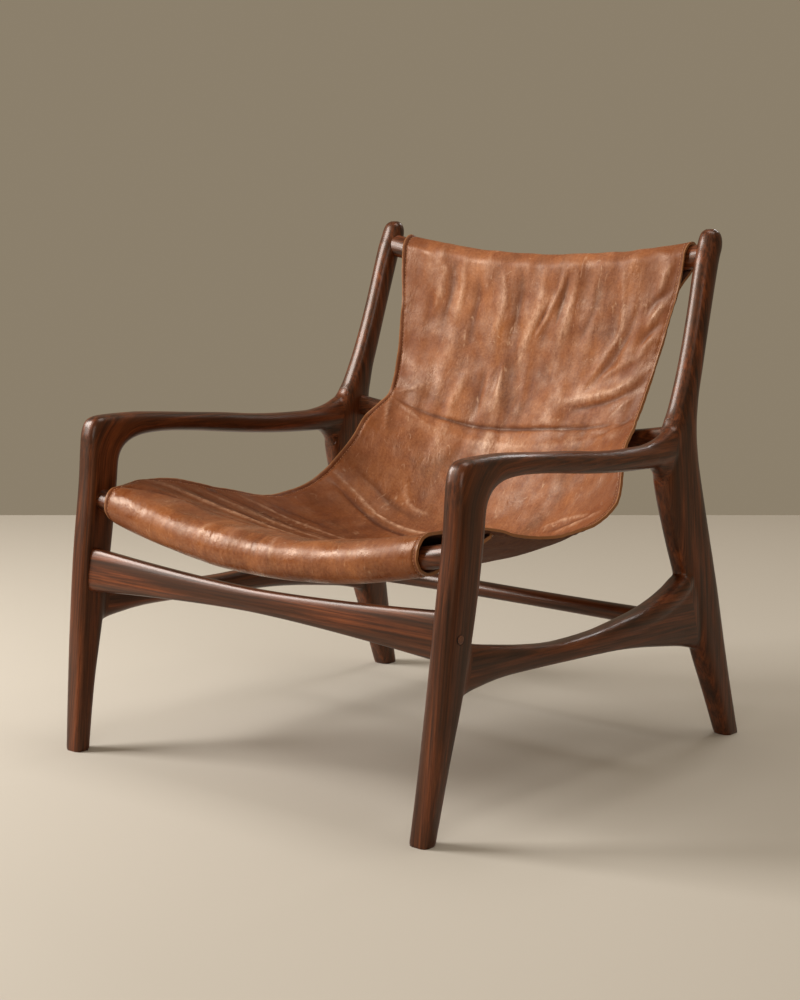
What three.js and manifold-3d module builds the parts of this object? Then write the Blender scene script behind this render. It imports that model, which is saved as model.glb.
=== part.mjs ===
// Lounge chair: two sculpted wooden side frames joined by cross rails and two curved bars,
// with one hanging leather sling. Millimetres, +Z up, the chair faces -Y, X is across it.
import * as THREE from "three";
import { mergeVertices } from "three/addons/utils/BufferGeometryUtils.js";
import Module from "manifold-3d";

const wasm = await Module();
wasm.setup();

// Driving sizes of the side frame
const overallHeight = 840;
const armHeight = 541;
const footReach = 771;
const frontFootSpread = 735;
const armFrontSpread = 773;
const rearFootSpread = 760;
const waistSpread = 704;
const postTopSpread = 678;
const frameThickness = 41;
const footChamfer = 3;

// Glue joints
const clearance = 0.3;
const dowelDiameter = 10;
const dowelLength = 36;
const dowelSpacing = 22;
const dowelSides = 8;
const legDowelShare = 0.5;
const frontStretcherDowelShare = 0.48;
const rearStretcherDowelShare = 0.48;
const armDowelShare = 0.45;

// Side stretcher
const stretcherHeight = 224;
const stretcherDepth = 32;

// Front rail with its bolts and plugs
const frontRailDrop = 247;
const frontRailHeight = armHeight - frontRailDrop;
const frontRailMidDepth = 36;
const frontRailEndDepth = 72;
const frontRailThickness = 26;
const frontRailSetback = 9;
const boltDiameter = 6;
const boltLength = 60;
const boltHeadDiameter = 13;
const boltHeadLength = 6;
const barrelNutDiameter = 12;
const barrelNutLength = 18;
const barrelNutInset = 18;
const plugDiameter = 15;
const plugLength = 5;
const plugProud = 0.8;
const nutRecess = 1;
const railDowelSpacing = 44;
const railDowelLength = 30;
const frontRailWaistPower = 1.6;
const frontRailFullness = 4;

// Rear rail and lumbar rail
const rearRailHeight = 191;
const rearRailMidDiameter = 28;
const rearRailEndDiameter = 35;
const lumbarRailDrop = 30;
const lumbarRailHeight = armHeight - lumbarRailDrop;
const lumbarRailDepth = 36;
const lumbarRailThickness = 22;
const lumbarRailBowDepth = 46;
const lumbarRailDroopDepth = 36;
const lumbarRailSetback = 10;
const lumbarRailFullness = 3;
const railTenonDiameter = 18;
const railTenonLength = 20;

// Bars that carry the sling
const topBarDrop = 43;
const topBarHeight = overallHeight - topBarDrop;
const topBarOvalHeight = 40;
const topBarOvalDepth = 28;
const topBarDroopDepth = 33;
const frontBarRise = 113;
const frontBarHeight = frontRailHeight + frontBarRise;
const frontBarDiameter = 35;
const frontBarDroopDepth = 45;
const barTenonDiameter = 20;
const barTenonLength = 18;
const shoulderBite = 8;

// Sling
const slingTopWidth = 600;
const slingWaistWidth = 538;
const slingFrontWidth = 642;
const slingTopShift = 9;
const leatherThickness = 5;
const frontPocketDiameter = 65;
const frontPocketSetback = 6;
const frontPocketDrop = 4;
const frontPocketEndLift = 5;
const topPocketSlack = 1.8;
const topPocketShift = 0.4;
const creaseDepth = 6;
const lumbarCreaseDepth = 3;
const drapeDepth = 3;
const frontFoldDepth = 4;
const leftCornerLift = 9;
const leftCornerSpread = 13;

// How finely each form is stepped
const memberSides = 12;
const barSides = 12;
const crossSteps = 10;
const slingColumns = 14;
const skinTolerance = 0.15;
const pocketSteps = 10;
const boreSteps = 10;

const walnut = { color: 0x4a2a1e, roughness: 0.38, metalness: 0 };
const cognac = { color: 0x9a5632, roughness: 0.46, metalness: 0 };
const steel = { color: 0x9a9a98, roughness: 0.35, metalness: 1 };
const beech = { color: 0xc39a6b, roughness: 0.7, metalness: 0 };

const chair = new THREE.Group();
const { lerp, clamp } = THREE.MathUtils;

// Closed meshes and solids

function toSolid(geometry) {
  const bare = geometry.clone();
  bare.deleteAttribute("normal");
  bare.deleteAttribute("uv");
  const merged = mergeVertices(bare);
  const vertProperties = new Float32Array(merged.attributes.position.array);
  const triVerts = new Uint32Array(merged.index.array);
  return new wasm.Manifold(new wasm.Mesh({ numProp: 3, vertProperties, triVerts }));
}

function toGeometry(solid) {
  const { vertProperties, triVerts, numProp } = solid.getMesh();
  const geometry = new THREE.BufferGeometry();
  const positions = [];
  for (let i = 0; i < vertProperties.length; i += numProp) {
    positions.push(vertProperties[i], vertProperties[i + 1], vertProperties[i + 2]);
  }
  geometry.setAttribute("position", new THREE.Float32BufferAttribute(positions, 3));
  geometry.setIndex([...triVerts]);
  geometry.computeVertexNormals();
  return geometry;
}

function place(name, solid, finish) {
  const part = new THREE.Mesh(toGeometry(solid), new THREE.MeshStandardMaterial(finish));
  part.name = name;
  chair.add(part);
  return part;
}

// A closed skin over rings of equal point count, fanned shut at both ends
function loft(rings) {
  const count = rings[0].length;
  const positions = rings.flat().flatMap((p) => [p.x, p.y, p.z]);
  const index = [];
  for (let r = 0; r < rings.length - 1; r += 1) {
    for (let i = 0; i < count; i += 1) {
      const a = r * count + i;
      const b = r * count + ((i + 1) % count);
      index.push(a, b, b + count, a, b + count, a + count);
    }
  }
  for (const [ring, flip] of [[0, true], [rings.length - 1, false]]) {
    const centre = new THREE.Vector3();
    rings[ring].forEach((p) => centre.addScaledVector(p, 1 / count));
    const hub = positions.length / 3;
    positions.push(centre.x, centre.y, centre.z);
    for (let i = 0; i < count; i += 1) {
      const a = ring * count + i;
      const b = ring * count + ((i + 1) % count);
      index.push(...(flip ? [hub, b, a] : [hub, a, b]));
    }
  }
  return outward(positions, index);
}

// Turns the faces of a closed skin outwards where they point in
function outward(positions, index) {
  let volume = 0;
  const at = (i) => new THREE.Vector3().fromArray(positions, 3 * i);
  for (let i = 0; i < index.length; i += 3) {
    volume += at(index[i]).dot(at(index[i + 1]).cross(at(index[i + 2])));
  }
  const turned = volume < 0 ? index.toReversed() : index;
  const geometry = new THREE.BufferGeometry();
  geometry.setAttribute("position", new THREE.Float32BufferAttribute(positions, 3));
  geometry.setIndex(turned);
  return geometry;
}

// Unit ring of a rounded square: fullness 2 is a circle, larger is squarer
function roundedRing(sides, fullness) {
  return Array.from({ length: sides }, (_, i) => {
    const angle = ((i + 0.5) / sides) * 2 * Math.PI;
    const bend = (v) => Math.sign(v) * Math.abs(v) ** (2 / fullness);
    return new THREE.Vector2(bend(Math.cos(angle)), bend(Math.sin(angle)));
  });
}

// A round rod with its middle at a point, along a direction
function rod(diameter, length, middle, direction, sides = barSides) {
  const geometry = new THREE.CylinderGeometry(diameter / 2, diameter / 2, length, sides);
  const up = new THREE.Vector3(0, 1, 0);
  geometry.applyQuaternion(new THREE.Quaternion().setFromUnitVectors(up, direction.clone().normalize()));
  geometry.translate(middle.x, middle.y, middle.z);
  return toSolid(geometry);
}

const mirrored = (solid) => solid.mirror([1, 0, 0]);
const across = new THREE.Vector3(1, 0, 0);

// The side frame, drawn in side view: its members are rounded skins between two edge lines

const bendHeightShare = 0.86;
const footLineShare = 1.01;
const bendLineShare = 0.83;
const topLineShare = 0.985;

// Heights up to the arm are shares of its height, and past 1 they run on to the post's top
function heightAt(share) {
  if (share <= 1) return share * armHeight;
  return armHeight + (share - 1) * (overallHeight - armHeight);
}

// Middle line of the rear member, which bends forward at the arm
function rearLine(z) {
  const bendHeight = bendHeightShare * armHeight;
  const upper = (z - bendHeight) / (overallHeight - bendHeight);
  const share = z < bendHeight
    ? lerp(footLineShare, bendLineShare, z / bendHeight)
    : lerp(bendLineShare, topLineShare, upper);
  return share * footReach;
}

// Sideways place of the frame's middle: the legs splay, and arms and posts draw in to the back
function frameMiddle(y, z) {
  const rise = clamp(z / armHeight, 0, 1);
  const above = clamp((z - armHeight) / (overallHeight - armHeight), 0, 1);
  const front = lerp(frontFootSpread, armFrontSpread, rise * (2 - rise)) / 2;
  const rearLow = lerp(rearFootSpread, waistSpread, rise) / 2;
  const rear = z < armHeight ? rearLow : lerp(waistSpread, postTopSpread, above) / 2;
  return lerp(front, rear, clamp(y / rearLine(z), 0, 1));
}

// Each row: one edge's reach and height, the other edge's reach and height, and the thickness
const frontMemberShares = [
  [-0.018, 0, 0.02, 0, 0.84],
  [-0.001, 0.2, 0.046, 0.2, 0.93],
  [0.014, 0.389, 0.077, 0.384, 1],
  [0.031, 0.6, 0.108, 0.59, 1],
  [0.05, 0.79, 0.129, 0.772, 1],
  [0.057, 0.9, 0.135, 0.845, 1],
  [0.061, 0.955, 0.141, 0.875, 1],
  [0.073, 0.99, 0.151, 0.896, 1.02],
  [0.1, 1.002, 0.165, 0.911, 1.02],
  [0.138, 1.004, 0.186, 0.923, 1],
  [0.192, 1.001, 0.215, 0.93, 1.02],
  [0.266, 0.992, 0.27, 0.931, 1.05],
  [0.35, 0.98, 0.352, 0.921, 1.07],
  [0.441, 0.968, 0.441, 0.905, 1.07],
  [0.532, 0.953, 0.532, 0.89, 1.05],
  [0.61, 0.945, 0.61, 0.88, 1.04],
  [0.681, 0.942, 0.681, 0.874, 1.03],
  [0.733, 0.941, 0.729, 0.871, 1.03],
  [0.776, 0.939, 0.776, 0.871, 1.01],
  [0.807, 0.933, 0.807, 0.877, 0.94],
  [0.83, 0.926, 0.83, 0.885, 0.8],
];

// The arm's spread root, which sweeps up into the post and down into the rear leg
const armRootShares = [
  [0.655, 0.938, 0.655, 0.889, 0.8],
  [0.713, 0.942, 0.712, 0.877, 0.87],
  [0.759, 0.951, 0.746, 0.867, 0.9],
  [0.794, 0.968, 0.765, 0.846, 0.92],
  [0.821, 0.993, 0.777, 0.813, 0.92],
  [0.846, 1.064, 0.791, 0.772, 0.9],
  [0.866, 1.171, 0.814, 0.73, 0.85],
  [0.887, 1.258, 0.843, 0.699, 0.75],
];

const rearMemberShares = [
  [0.988, 0, 1.034, 0, 0.84],
  [0.944, 0.148, 1.008, 0.148, 0.93],
  [0.897, 0.297, 0.985, 0.3, 1],
  [0.854, 0.48, 0.961, 0.485, 1],
  [0.808, 0.656, 0.932, 0.67, 1],
  [0.775, 0.813, 0.907, 0.835, 1],
  [0.779, 0.877, 0.9, 0.905, 1],
  [0.795, 0.941, 0.898, 0.965, 1],
  [0.824, 1.011, 0.902, 1.032, 0.97],
  [0.845, 1.111, 0.91, 1.133, 0.94],
  [0.868, 1.245, 0.925, 1.26, 0.92],
  [0.89, 1.397, 0.942, 1.406, 0.9],
  [0.911, 1.564, 0.962, 1.573, 0.9],
  [0.93, 1.732, 0.982, 1.736, 0.92],
  [0.944, 1.843, 0.995, 1.843, 0.96],
  [0.955, 1.907, 1.004, 1.895, 0.98],
  [0.962, 1.952, 1.006, 1.942, 0.93],
  [0.969, 1.984, 1.002, 1.978, 0.75],
  [0.98, 2, 0.992, 2, 0.4],
];

// Stretcher rows give heights as shares of its depth above and below its middle line
const stretcherShares = [
  [0.078, 2.05, 0.054, -1.15, 0.85],
  [0.101, 1.77, 0.083, -0.58, 0.9],
  [0.147, 1.48, 0.14, -0.36, 0.94],
  [0.208, 1.19, 0.205, -0.27, 0.94],
  [0.292, 0.83, 0.288, -0.33, 0.94],
  [0.389, 0.55, 0.389, -0.45, 0.94],
  [0.506, 0.52, 0.506, -0.61, 0.94],
  [0.597, 0.68, 0.599, -0.78, 0.94],
  [0.674, 0.86, 0.681, -1.02, 0.94],
  [0.746, 1.21, 0.759, -1.32, 0.93],
  [0.804, 1.65, 0.83, -1.62, 0.91],
  [0.843, 2.08, 0.887, -1.98, 0.9],
  [0.874, 2.52, 0.923, -2.28, 0.8],
];

// The proud ridge along the stretcher's upper edge, which ends in an ear on the rear leg
const stretcherRidgeShares = [
  [0.519, 0.5, 0.52, -0.38, 0.9],
  [0.597, 0.66, 0.601, -0.31, 0.98],
  [0.674, 0.85, 0.68, -0.13, 1.02],
  [0.746, 1.19, 0.754, 0.22, 1.04],
  [0.798, 1.57, 0.808, 0.63, 1.04],
  [0.834, 1.94, 0.846, 1.06, 1.02],
  [0.859, 2.17, 0.872, 1.44, 0.85],
];

const legFullness = 4;
const armFullness = 3;

// One skin: every ring stands square to the side view and joins a point of each edge line
function sideMember(rows, heightOf, fullness) {
  const unit = roundedRing(memberSides, fullness);
  const rings = rows.map(([y1, z1, y2, z2, thick]) => {
    const a = new THREE.Vector2(y1 * footReach, heightOf(z1));
    const b = new THREE.Vector2(y2 * footReach, heightOf(z2));
    const middle = a.clone().add(b).multiplyScalar(0.5);
    const half = a.clone().sub(b).multiplyScalar(0.5);
    const x = frameMiddle(middle.x, middle.y);
    return unit.map((p) => new THREE.Vector3(
      x + (p.x * thick * frameThickness) / 2,
      middle.x + p.y * half.x,
      middle.y + p.y * half.y,
    ));
  });
  return chamferFoot(rings);
}

// A ring on the floor gets a second, full one just above it, and shrinks to a chamfer
function chamferFoot(rings) {
  const first = rings[0];
  if (first.some((p) => p.z > footChamfer)) return toSolid(loft(rings));
  const centre = first.reduce((sum, p) => sum.addScaledVector(p, 1 / first.length), new THREE.Vector3());
  const share = 1 - (2 * footChamfer) / frameThickness;
  const foot = first.map((p) => centre.clone().lerp(p, share).setZ(0));
  const full = first.map((p) => p.clone().setZ(footChamfer));
  return toSolid(loft([foot, full, ...rings.slice(1)]));
}

const stretcherLevel = (share) => stretcherHeight + share * stretcherDepth;
const frameUnion = wasm.Manifold.union([
  sideMember(frontMemberShares, heightAt, legFullness),
  sideMember(rearMemberShares, heightAt, legFullness),
  sideMember(armRootShares, heightAt, armFullness),
  sideMember(stretcherShares, stretcherLevel, armFullness),
  sideMember(stretcherRidgeShares, stretcherLevel, armFullness),
]);
const sideFrame = frameUnion.simplify(skinTolerance);

// Where the frame comes apart: saw lines in side view, and the dowels that cross them

const legSawShares = [[0.03, 0.836], [0.16, 0.836]];

// The stretcher's saw lines keep off the legs' faces: stub length and height as shares of its depth
const frontStretcherSawShares = [[0.15, -1.066], [0.15, 2.434]];
const rearStretcherSawShares = [[0.34, -2.62], [0.1, 2.84]];
const armSawShares = [[0.765, 0.763], [0.832, 1.074]];

const sidePoint = ([along, up]) => new THREE.Vector2(along * footReach, heightAt(up));
const behindLeg = ([stub, up]) => {
  const height = stretcherLevel(up);
  return new THREE.Vector2(edgesAt(frontMemberShares, height).other + stub * stretcherDepth, height);
};
const beforePost = ([stub, up]) => {
  const height = stretcherLevel(up);
  return new THREE.Vector2(edgesAt(rearMemberShares, height).one - stub * stretcherDepth, height);
};
const sawLines = {
  leg: legSawShares.map(sidePoint),
  stretcher_front: frontStretcherSawShares.map(behindLeg),
  stretcher_rear: rearStretcherSawShares.map(beforePost),
  arm_rear: armSawShares.map(sidePoint),
};

function inFrame(point) {
  return new THREE.Vector3(frameMiddle(point.x, point.y), point.x, point.y);
}

// A saw cut as wide as the joint's clearance, square to the side view
function sawCut([from, to]) {
  const line = to.clone().sub(from);
  const blade = new THREE.BoxGeometry(2 * frameThickness, clearance, line.length());
  blade.rotateX(Math.atan2(line.y, line.x) - Math.PI / 2);
  const middle = inFrame(from.clone().lerp(to, 0.5));
  blade.translate(middle.x, middle.y, middle.z);
  return toSolid(blade);
}

// The pair of dowels of one joint, side by side along its saw line
function dowelPair([from, to], along) {
  const line = to.clone().sub(from).normalize();
  const middle = from.clone().lerp(to, along);
  return [-0.5, 0.5].map((side) => {
    const point = inFrame(middle.clone().addScaledVector(line, side * dowelSpacing));
    const direction = new THREE.Vector3(0, -line.y, line.x);
    return { point, direction };
  });
}

const dowels = {
  leg: dowelPair(sawLines.leg, legDowelShare),
  stretcher_front: dowelPair(sawLines.stretcher_front, frontStretcherDowelShare),
  stretcher_rear: dowelPair(sawLines.stretcher_rear, rearStretcherDowelShare),
  arm_rear: dowelPair(sawLines.arm_rear, armDowelShare),
};
const dowelRod = ({ point, direction }, gap) =>
  rod(dowelDiameter + 2 * gap, dowelLength + 2 * gap, point, direction, dowelSides);

// Cross members: rings stand in planes across the chair, from one side to the other

function crossMember({ halfSpan, fullness = 2, lean = 0, at, size, sides = barSides }) {
  const unit = roundedRing(sides, fullness);
  const rings = Array.from({ length: crossSteps + 1 }, (_, i) => {
    const share = (2 * i) / crossSteps - 1;
    const [y, z] = at(share);
    const [deep, tall] = size(share);
    return unit.map((p) => {
      const v = new THREE.Vector2((p.x * deep) / 2, (p.y * tall) / 2).rotateAround(origin2, -lean);
      return new THREE.Vector3(share * halfSpan, y + v.x, z + v.y);
    });
  });
  return toSolid(loft(rings));
}
const origin2 = new THREE.Vector2();

// Edges of a leg or post at a height, read off its rows
function edgesAt(rows, height) {
  const cross = (yColumn, zColumn) => {
    for (let i = 1; i < rows.length; i += 1) {
      const z1 = heightAt(rows[i - 1][zColumn]);
      const z2 = heightAt(rows[i][zColumn]);
      if (z1 <= height && height <= z2) {
        return footReach * lerp(rows[i - 1][yColumn], rows[i][yColumn], (height - z1) / (z2 - z1));
      }
    }
    return 0;
  };
  return { one: cross(0, 1), other: cross(2, 3) };
}
const middleAt = (rows, height) => {
  const { one, other } = edgesAt(rows, height);
  return (one + other) / 2;
};
const rakeAt = (rows, height) => {
  const rise = frameThickness;
  return Math.atan2(middleAt(rows, height + rise) - middleAt(rows, height - rise), 2 * rise);
};

// Shoulders sit against the frames: the body is cut by each frame drawn in by the clearance
function fitBetweenFrames(body) {
  return body
    .subtract(sideFrame.translate([-clearance, 0, 0]))
    .subtract(mirrored(sideFrame).translate([clearance, 0, 0]));
}

// Round tenons at both ends, and the sockets that they sit in
function tenons(diameter, length, y, z, gap) {
  const inner = frameMiddle(y, z) - frameThickness / 2;
  const root = 2 * shoulderBite;
  const full = length + root + gap;
  const point = new THREE.Vector3(inner + (length + gap - root) / 2, y, z);
  const right = rod(diameter + 2 * gap, full, point, across);
  return wasm.Manifold.union([right, mirrored(right)]);
}
const bodySpan = (y, z) => frameMiddle(y, z) - frameThickness / 2 + shoulderBite;
const bow = (share) => 1 - share * share;

// Top bar, curved down in the middle and leaning with the posts
const topBarY = middleAt(rearMemberShares, topBarHeight);
const topBarLean = rakeAt(rearMemberShares, topBarHeight);
const topBarSpan = bodySpan(topBarY, topBarHeight);
const topBarMiddle = (share) => [topBarY, topBarHeight - topBarDroopDepth * bow(share)];
const topBar = crossMember({
  halfSpan: topBarSpan,
  lean: topBarLean,
  at: topBarMiddle,
  size: () => [topBarOvalDepth, topBarOvalHeight],
});

// Front bar, round and curved down in the middle
const frontBarY = middleAt(frontMemberShares, frontBarHeight);
const frontBarSpan = bodySpan(frontBarY, frontBarHeight);
const frontBarMiddle = (share) => [frontBarY, frontBarHeight - frontBarDroopDepth * bow(share)];
const frontBar = crossMember({
  halfSpan: frontBarSpan,
  at: frontBarMiddle,
  size: () => [frontBarDiameter, frontBarDiameter],
});

// Front rail: deep at its ends, waisted in the middle, raked with the legs
const frontRailLean = rakeAt(frontMemberShares, frontRailHeight);
const frontEdge = edgesAt(frontMemberShares, frontRailHeight).one;
const frontRailY = frontEdge + frontRailSetback + frontRailThickness / 2;
const waist = (share) => Math.abs(share) ** frontRailWaistPower;
const frontRail = crossMember({
  halfSpan: bodySpan(frontRailY, frontRailHeight),
  fullness: frontRailFullness,
  lean: frontRailLean,
  at: () => [frontRailY, frontRailHeight],
  size: (share) => [frontRailThickness, lerp(frontRailMidDepth, frontRailEndDepth, waist(share))],
});

// Rear rail: a plain round rail, a little thicker at its ends
const rearRailY = middleAt(rearMemberShares, rearRailHeight);
const rearRail = crossMember({
  halfSpan: bodySpan(rearRailY, rearRailHeight),
  at: () => [rearRailY, rearRailHeight],
  size: (share) => {
    const diameter = lerp(rearRailEndDiameter, rearRailMidDiameter, bow(share));
    return [diameter, diameter];
  },
});

// Lumbar rail behind the sling, bowed back and down
const lumbarRailY = middleAt(rearMemberShares, lumbarRailHeight) + lumbarRailSetback;
const lumbarRail = crossMember({
  halfSpan: bodySpan(lumbarRailY, lumbarRailHeight),
  fullness: lumbarRailFullness,
  at: (share) => [
    lumbarRailY + lumbarRailBowDepth * bow(share),
    lumbarRailHeight - lumbarRailDroopDepth * bow(share),
  ],
  size: () => [lumbarRailThickness, lumbarRailDepth],
});

// Each pair of tenons, as its diameter, length and place
const tenonSets = [
  { body: topBar, name: "top_bar", fit: [barTenonDiameter, barTenonLength, topBarY, topBarHeight] },
  { body: frontBar, name: "front_bar", fit: [barTenonDiameter, barTenonLength, frontBarY, frontBarHeight] },
  {
    body: rearRail,
    name: "rear_rail",
    fit: [railTenonDiameter, railTenonLength, rearRailY, rearRailHeight],
  },
  {
    body: lumbarRail,
    name: "lumbar_rail",
    fit: [railTenonDiameter, railTenonLength, lumbarRailY, lumbarRailHeight],
  },
];

// Front rail hardware: a bolt through each leg into a barrel nut, a plug over its head

const legFace = frameMiddle(frontRailY, frontRailHeight) + frameThickness / 2;
const boltAt = (x) => new THREE.Vector3(x, frontRailY, frontRailHeight);
const headFace = legFace + plugProud - plugLength - clearance;
const headSeat = headFace - boltHeadLength;
const boltEnd = headFace - boltLength;
const legInnerFace = legFace - frameThickness;
const nutX = legInnerFace - barrelNutInset;

function boltSolid(gap) {
  const headMiddle = boltAt((headFace + headSeat) / 2);
  const head = rod(boltHeadDiameter + 2 * gap, boltHeadLength + 2 * gap, headMiddle, across);
  const shankLength = headFace - boltEnd + gap;
  const shank = rod(boltDiameter + 2 * gap, shankLength, boltAt(headFace - shankLength / 2), across);
  return head.add(shank);
}
const plugMiddle = legFace + plugProud - plugLength / 2;
const plug = rod(plugDiameter, plugLength, boltAt(plugMiddle), across);
const plugBore = rod(
  plugDiameter + 2 * clearance,
  plugLength + plugProud + clearance,
  boltAt(plugMiddle + (plugProud - clearance) / 2),
  across,
);

// The barrel nut lies across the rail's thickness and comes in from its back face
const backwards = new THREE.Vector3(0, 1, 0);
const nutBoreLength = barrelNutLength + frontRailThickness;
const nutY = frontRailY + (frontRailThickness - barrelNutLength) / 2 - nutRecess;
const nutPoint = new THREE.Vector3(nutX, nutY, frontRailHeight);
const nutBlank = rod(barrelNutDiameter, barrelNutLength, nutPoint, backwards);
const nut = nutBlank.subtract(boltSolid(clearance));
const nutBore = rod(
  barrelNutDiameter + 2 * clearance,
  nutBoreLength,
  new THREE.Vector3(nutX, nutY - barrelNutLength / 2 - clearance + nutBoreLength / 2, frontRailHeight),
  backwards,
);
const railDowelPoints = [-1, 1].map((side) => {
  const rise = side * railDowelSpacing / 2;
  const reach = frontRailY + rise * Math.tan(frontRailLean);
  return new THREE.Vector3(legInnerFace, reach, frontRailHeight + rise);
});
const railDowel = (point, gap) =>
  rod(dowelDiameter + 2 * gap, railDowelLength + 2 * gap, point, across, dowelSides);

// Bore and saw the frame, let it fall apart, and name its pieces by where they lie

const bores = [
  ...Object.values(dowels).flat().map((dowel) => dowelRod(dowel, clearance)),
  ...tenonSets.map(({ fit }) => tenons(...fit, clearance)),
  ...railDowelPoints.map((point) => railDowel(point, clearance)),
  boltSolid(clearance),
  plugBore,
];
const saws = Object.values(sawLines).map(sawCut);
const pieces = sideFrame.subtract(wasm.Manifold.union([...bores, ...saws])).decompose();

const anchorShares = {
  front_leg: [0.05, 0.42],
  arm: [0.45, 0.9],
  side_stretcher: [0.5, 0.42],
  rear_post: [0.9, 0.8],
};
const boxMiddle = (solid) => {
  const { min, max } = solid.boundingBox();
  return new THREE.Vector2((min[1] + max[1]) / 2, (min[2] + max[2]) / 2);
};
for (const [name, shares] of Object.entries(anchorShares)) {
  const anchor = sidePoint(shares);
  const reach = (solid) => boxMiddle(solid).distanceTo(anchor);
  const piece = pieces.reduce((best, other) => (reach(other) < reach(best) ? other : best));
  place(`right_${name}`, piece, walnut);
  place(`left_${name}`, mirrored(piece), walnut);
}
for (const [joint, pair] of Object.entries(dowels)) {
  pair.forEach((dowel, i) => {
    place(`right_${joint}_dowel_${i + 1}`, dowelRod(dowel, 0), beech);
    place(`left_${joint}_dowel_${i + 1}`, mirrored(dowelRod(dowel, 0)), beech);
  });
}
for (const { body, name, fit } of tenonSets) {
  place(name, fitBetweenFrames(body).add(tenons(...fit, 0)), walnut);
}
const railCuts = wasm.Manifold.union([
  boltSolid(clearance),
  nutBore,
  ...railDowelPoints.map((point) => railDowel(point, clearance)),
]);
place("front_rail", fitBetweenFrames(frontRail).subtract(railCuts).subtract(mirrored(railCuts)), walnut);
for (const [name, solid, finish] of [
  ["rail_bolt", boltSolid(0), steel],
  ["barrel_nut", nut, steel],
  ["bolt_plug", plug, walnut],
  ["rail_dowel_1", railDowel(railDowelPoints[0], 0), beech],
  ["rail_dowel_2", railDowel(railDowelPoints[1], 0), beech],
]) {
  place(`right_${name}`, solid, finish);
  place(`left_${name}`, mirrored(solid), finish);
}

// The sling: one hanging sheet of leather with a sewn pocket at each end for its bar

// Rows run from the front pocket up to the top pocket, in shares of the way from bar to bar:
// the side edge's reach and height, the middle's reach and height, and how far the width has
// grown from the waist to the front or the top
const slingShares = [
  [0.063, 0.064, 0.066, -0.049, 1],
  [0.115, 0.054, 0.122, -0.085, 0.978],
  [0.173, 0.041, 0.181, -0.119, 0.891],
  [0.239, 0.013, 0.254, -0.16, 0.804],
  [0.313, -0.015, 0.335, -0.204, 0.717],
  [0.394, -0.044, 0.423, -0.242, 0.652],
  [0.474, -0.062, 0.504, -0.268, 0.652],
  [0.548, -0.062, 0.577, -0.281, 0.696],
  [0.621, -0.041, 0.65, -0.273, 0.761],
  [0.68, 0, 0.712, -0.237, 0.761],
  [0.727, 0.059, 0.76, -0.173, 0.674],
  [0.768, 0.149, 0.804, -0.077, 0.435],
  [0.797, 0.235, 0.841, 0.034, 0.261],
  [0.844, 0.291, 0.87, 0.137, 0.13],
  [0.875, 0.338, 0.894, 0.227, 0],
  [0.9, 0.433, 0.912, 0.343, 0.062],
  [0.925, 0.562, 0.934, 0.492, 0.281],
  [0.941, 0.683, 0.947, 0.626, 0.531],
  [0.953, 0.794, 0.957, 0.735, 0.75],
  [0.961, 0.889, 0.966, 0.825, 0.938],
];
const waistRow = 14;
const sagPower = 2;
const flarePower = 2;
const flareRows = 6;

// Folds, as a depth into the sheet at a row and a share of the half width
function foldDepthAt(row, side) {
  const reach = Math.abs(side);
  const creaseRow = lerp(creaseMiddleRow, creaseEdgeRow, reach ** creasePower);
  const crease = creaseDepth * reach * Math.exp(-(((row - creaseRow) / creaseWidthRows) ** 2));
  const lumbar = lumbarCreaseDepth * Math.exp(-(((row - waistRow) / lumbarWidthRows) ** 2));
  const backShare = clamp((row - waistRow) / (slingShares.length - 1 - waistRow), 0, 1);
  const drape = drapeDepth * Math.sin(Math.PI * backShare) * Math.cos(drapeWaves * Math.PI * side);
  const frontShare = clamp(row / creaseMiddleRow, 0, 1);
  const fan = Math.atan2(frontShare, 1 - reach + fanOffsetShare);
  const front = frontFoldDepth * Math.sin(Math.PI * frontShare) * reach * Math.cos(fanWaves * fan);
  return crease + lumbar + drape + front;
}
const creaseMiddleRow = 8;
const creaseEdgeRow = 11.5;
const creasePower = 1.3;
const creaseWidthRows = 0.9;
const lumbarWidthRows = 0.7;
const drapeWaves = 3.5;
const fanWaves = 7;
const fanOffsetShare = 0.15;

const slingRun = topBarY - frontBarY;
const slingRise = topBarHeight - frontBarHeight;

// The sheet hangs a little to the right at the top, and its front corner on the left spreads
// and lifts more than the one on the right
const leftFlare = (side) => clamp(-side, 0, 1) ** flarePower;

// A point of the sheet's upper face before folds
function sheetPoint(row, side) {
  const [edgeY, edgeZ, middleY, middleZ, grown] = slingShares[row];
  const full = row < waistRow ? slingFrontWidth : slingTopWidth;
  const bend = Math.abs(side) ** sagPower;
  const flare = leftFlare(side) * clamp(1 - row / flareRows, 0, 1);
  const aside = slingTopShift * clamp((row - waistRow) / (slingShares.length - 1 - waistRow), 0, 1);
  return new THREE.Vector3(
    (side * lerp(slingWaistWidth, full, grown)) / 2 + aside - leftCornerSpread * flare,
    frontBarY + slingRun * lerp(middleY, edgeY, bend),
    frontBarHeight + slingRise * lerp(middleZ, edgeZ, bend) + leftCornerLift * flare,
  );
}

// Unit normal of the sheet that points to the sitter, from its neighbours
function sheetNormal(row, side) {
  const small = 1 / slingColumns;
  const back = sheetPoint(Math.min(row + 1, slingShares.length - 1), side);
  const front = sheetPoint(Math.max(row - 1, 0), side);
  const right = sheetPoint(row, Math.min(side + small, 1));
  const left = sheetPoint(row, Math.max(side - small, -1));
  return right.sub(left).cross(back.sub(front)).normalize();
}

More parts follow.
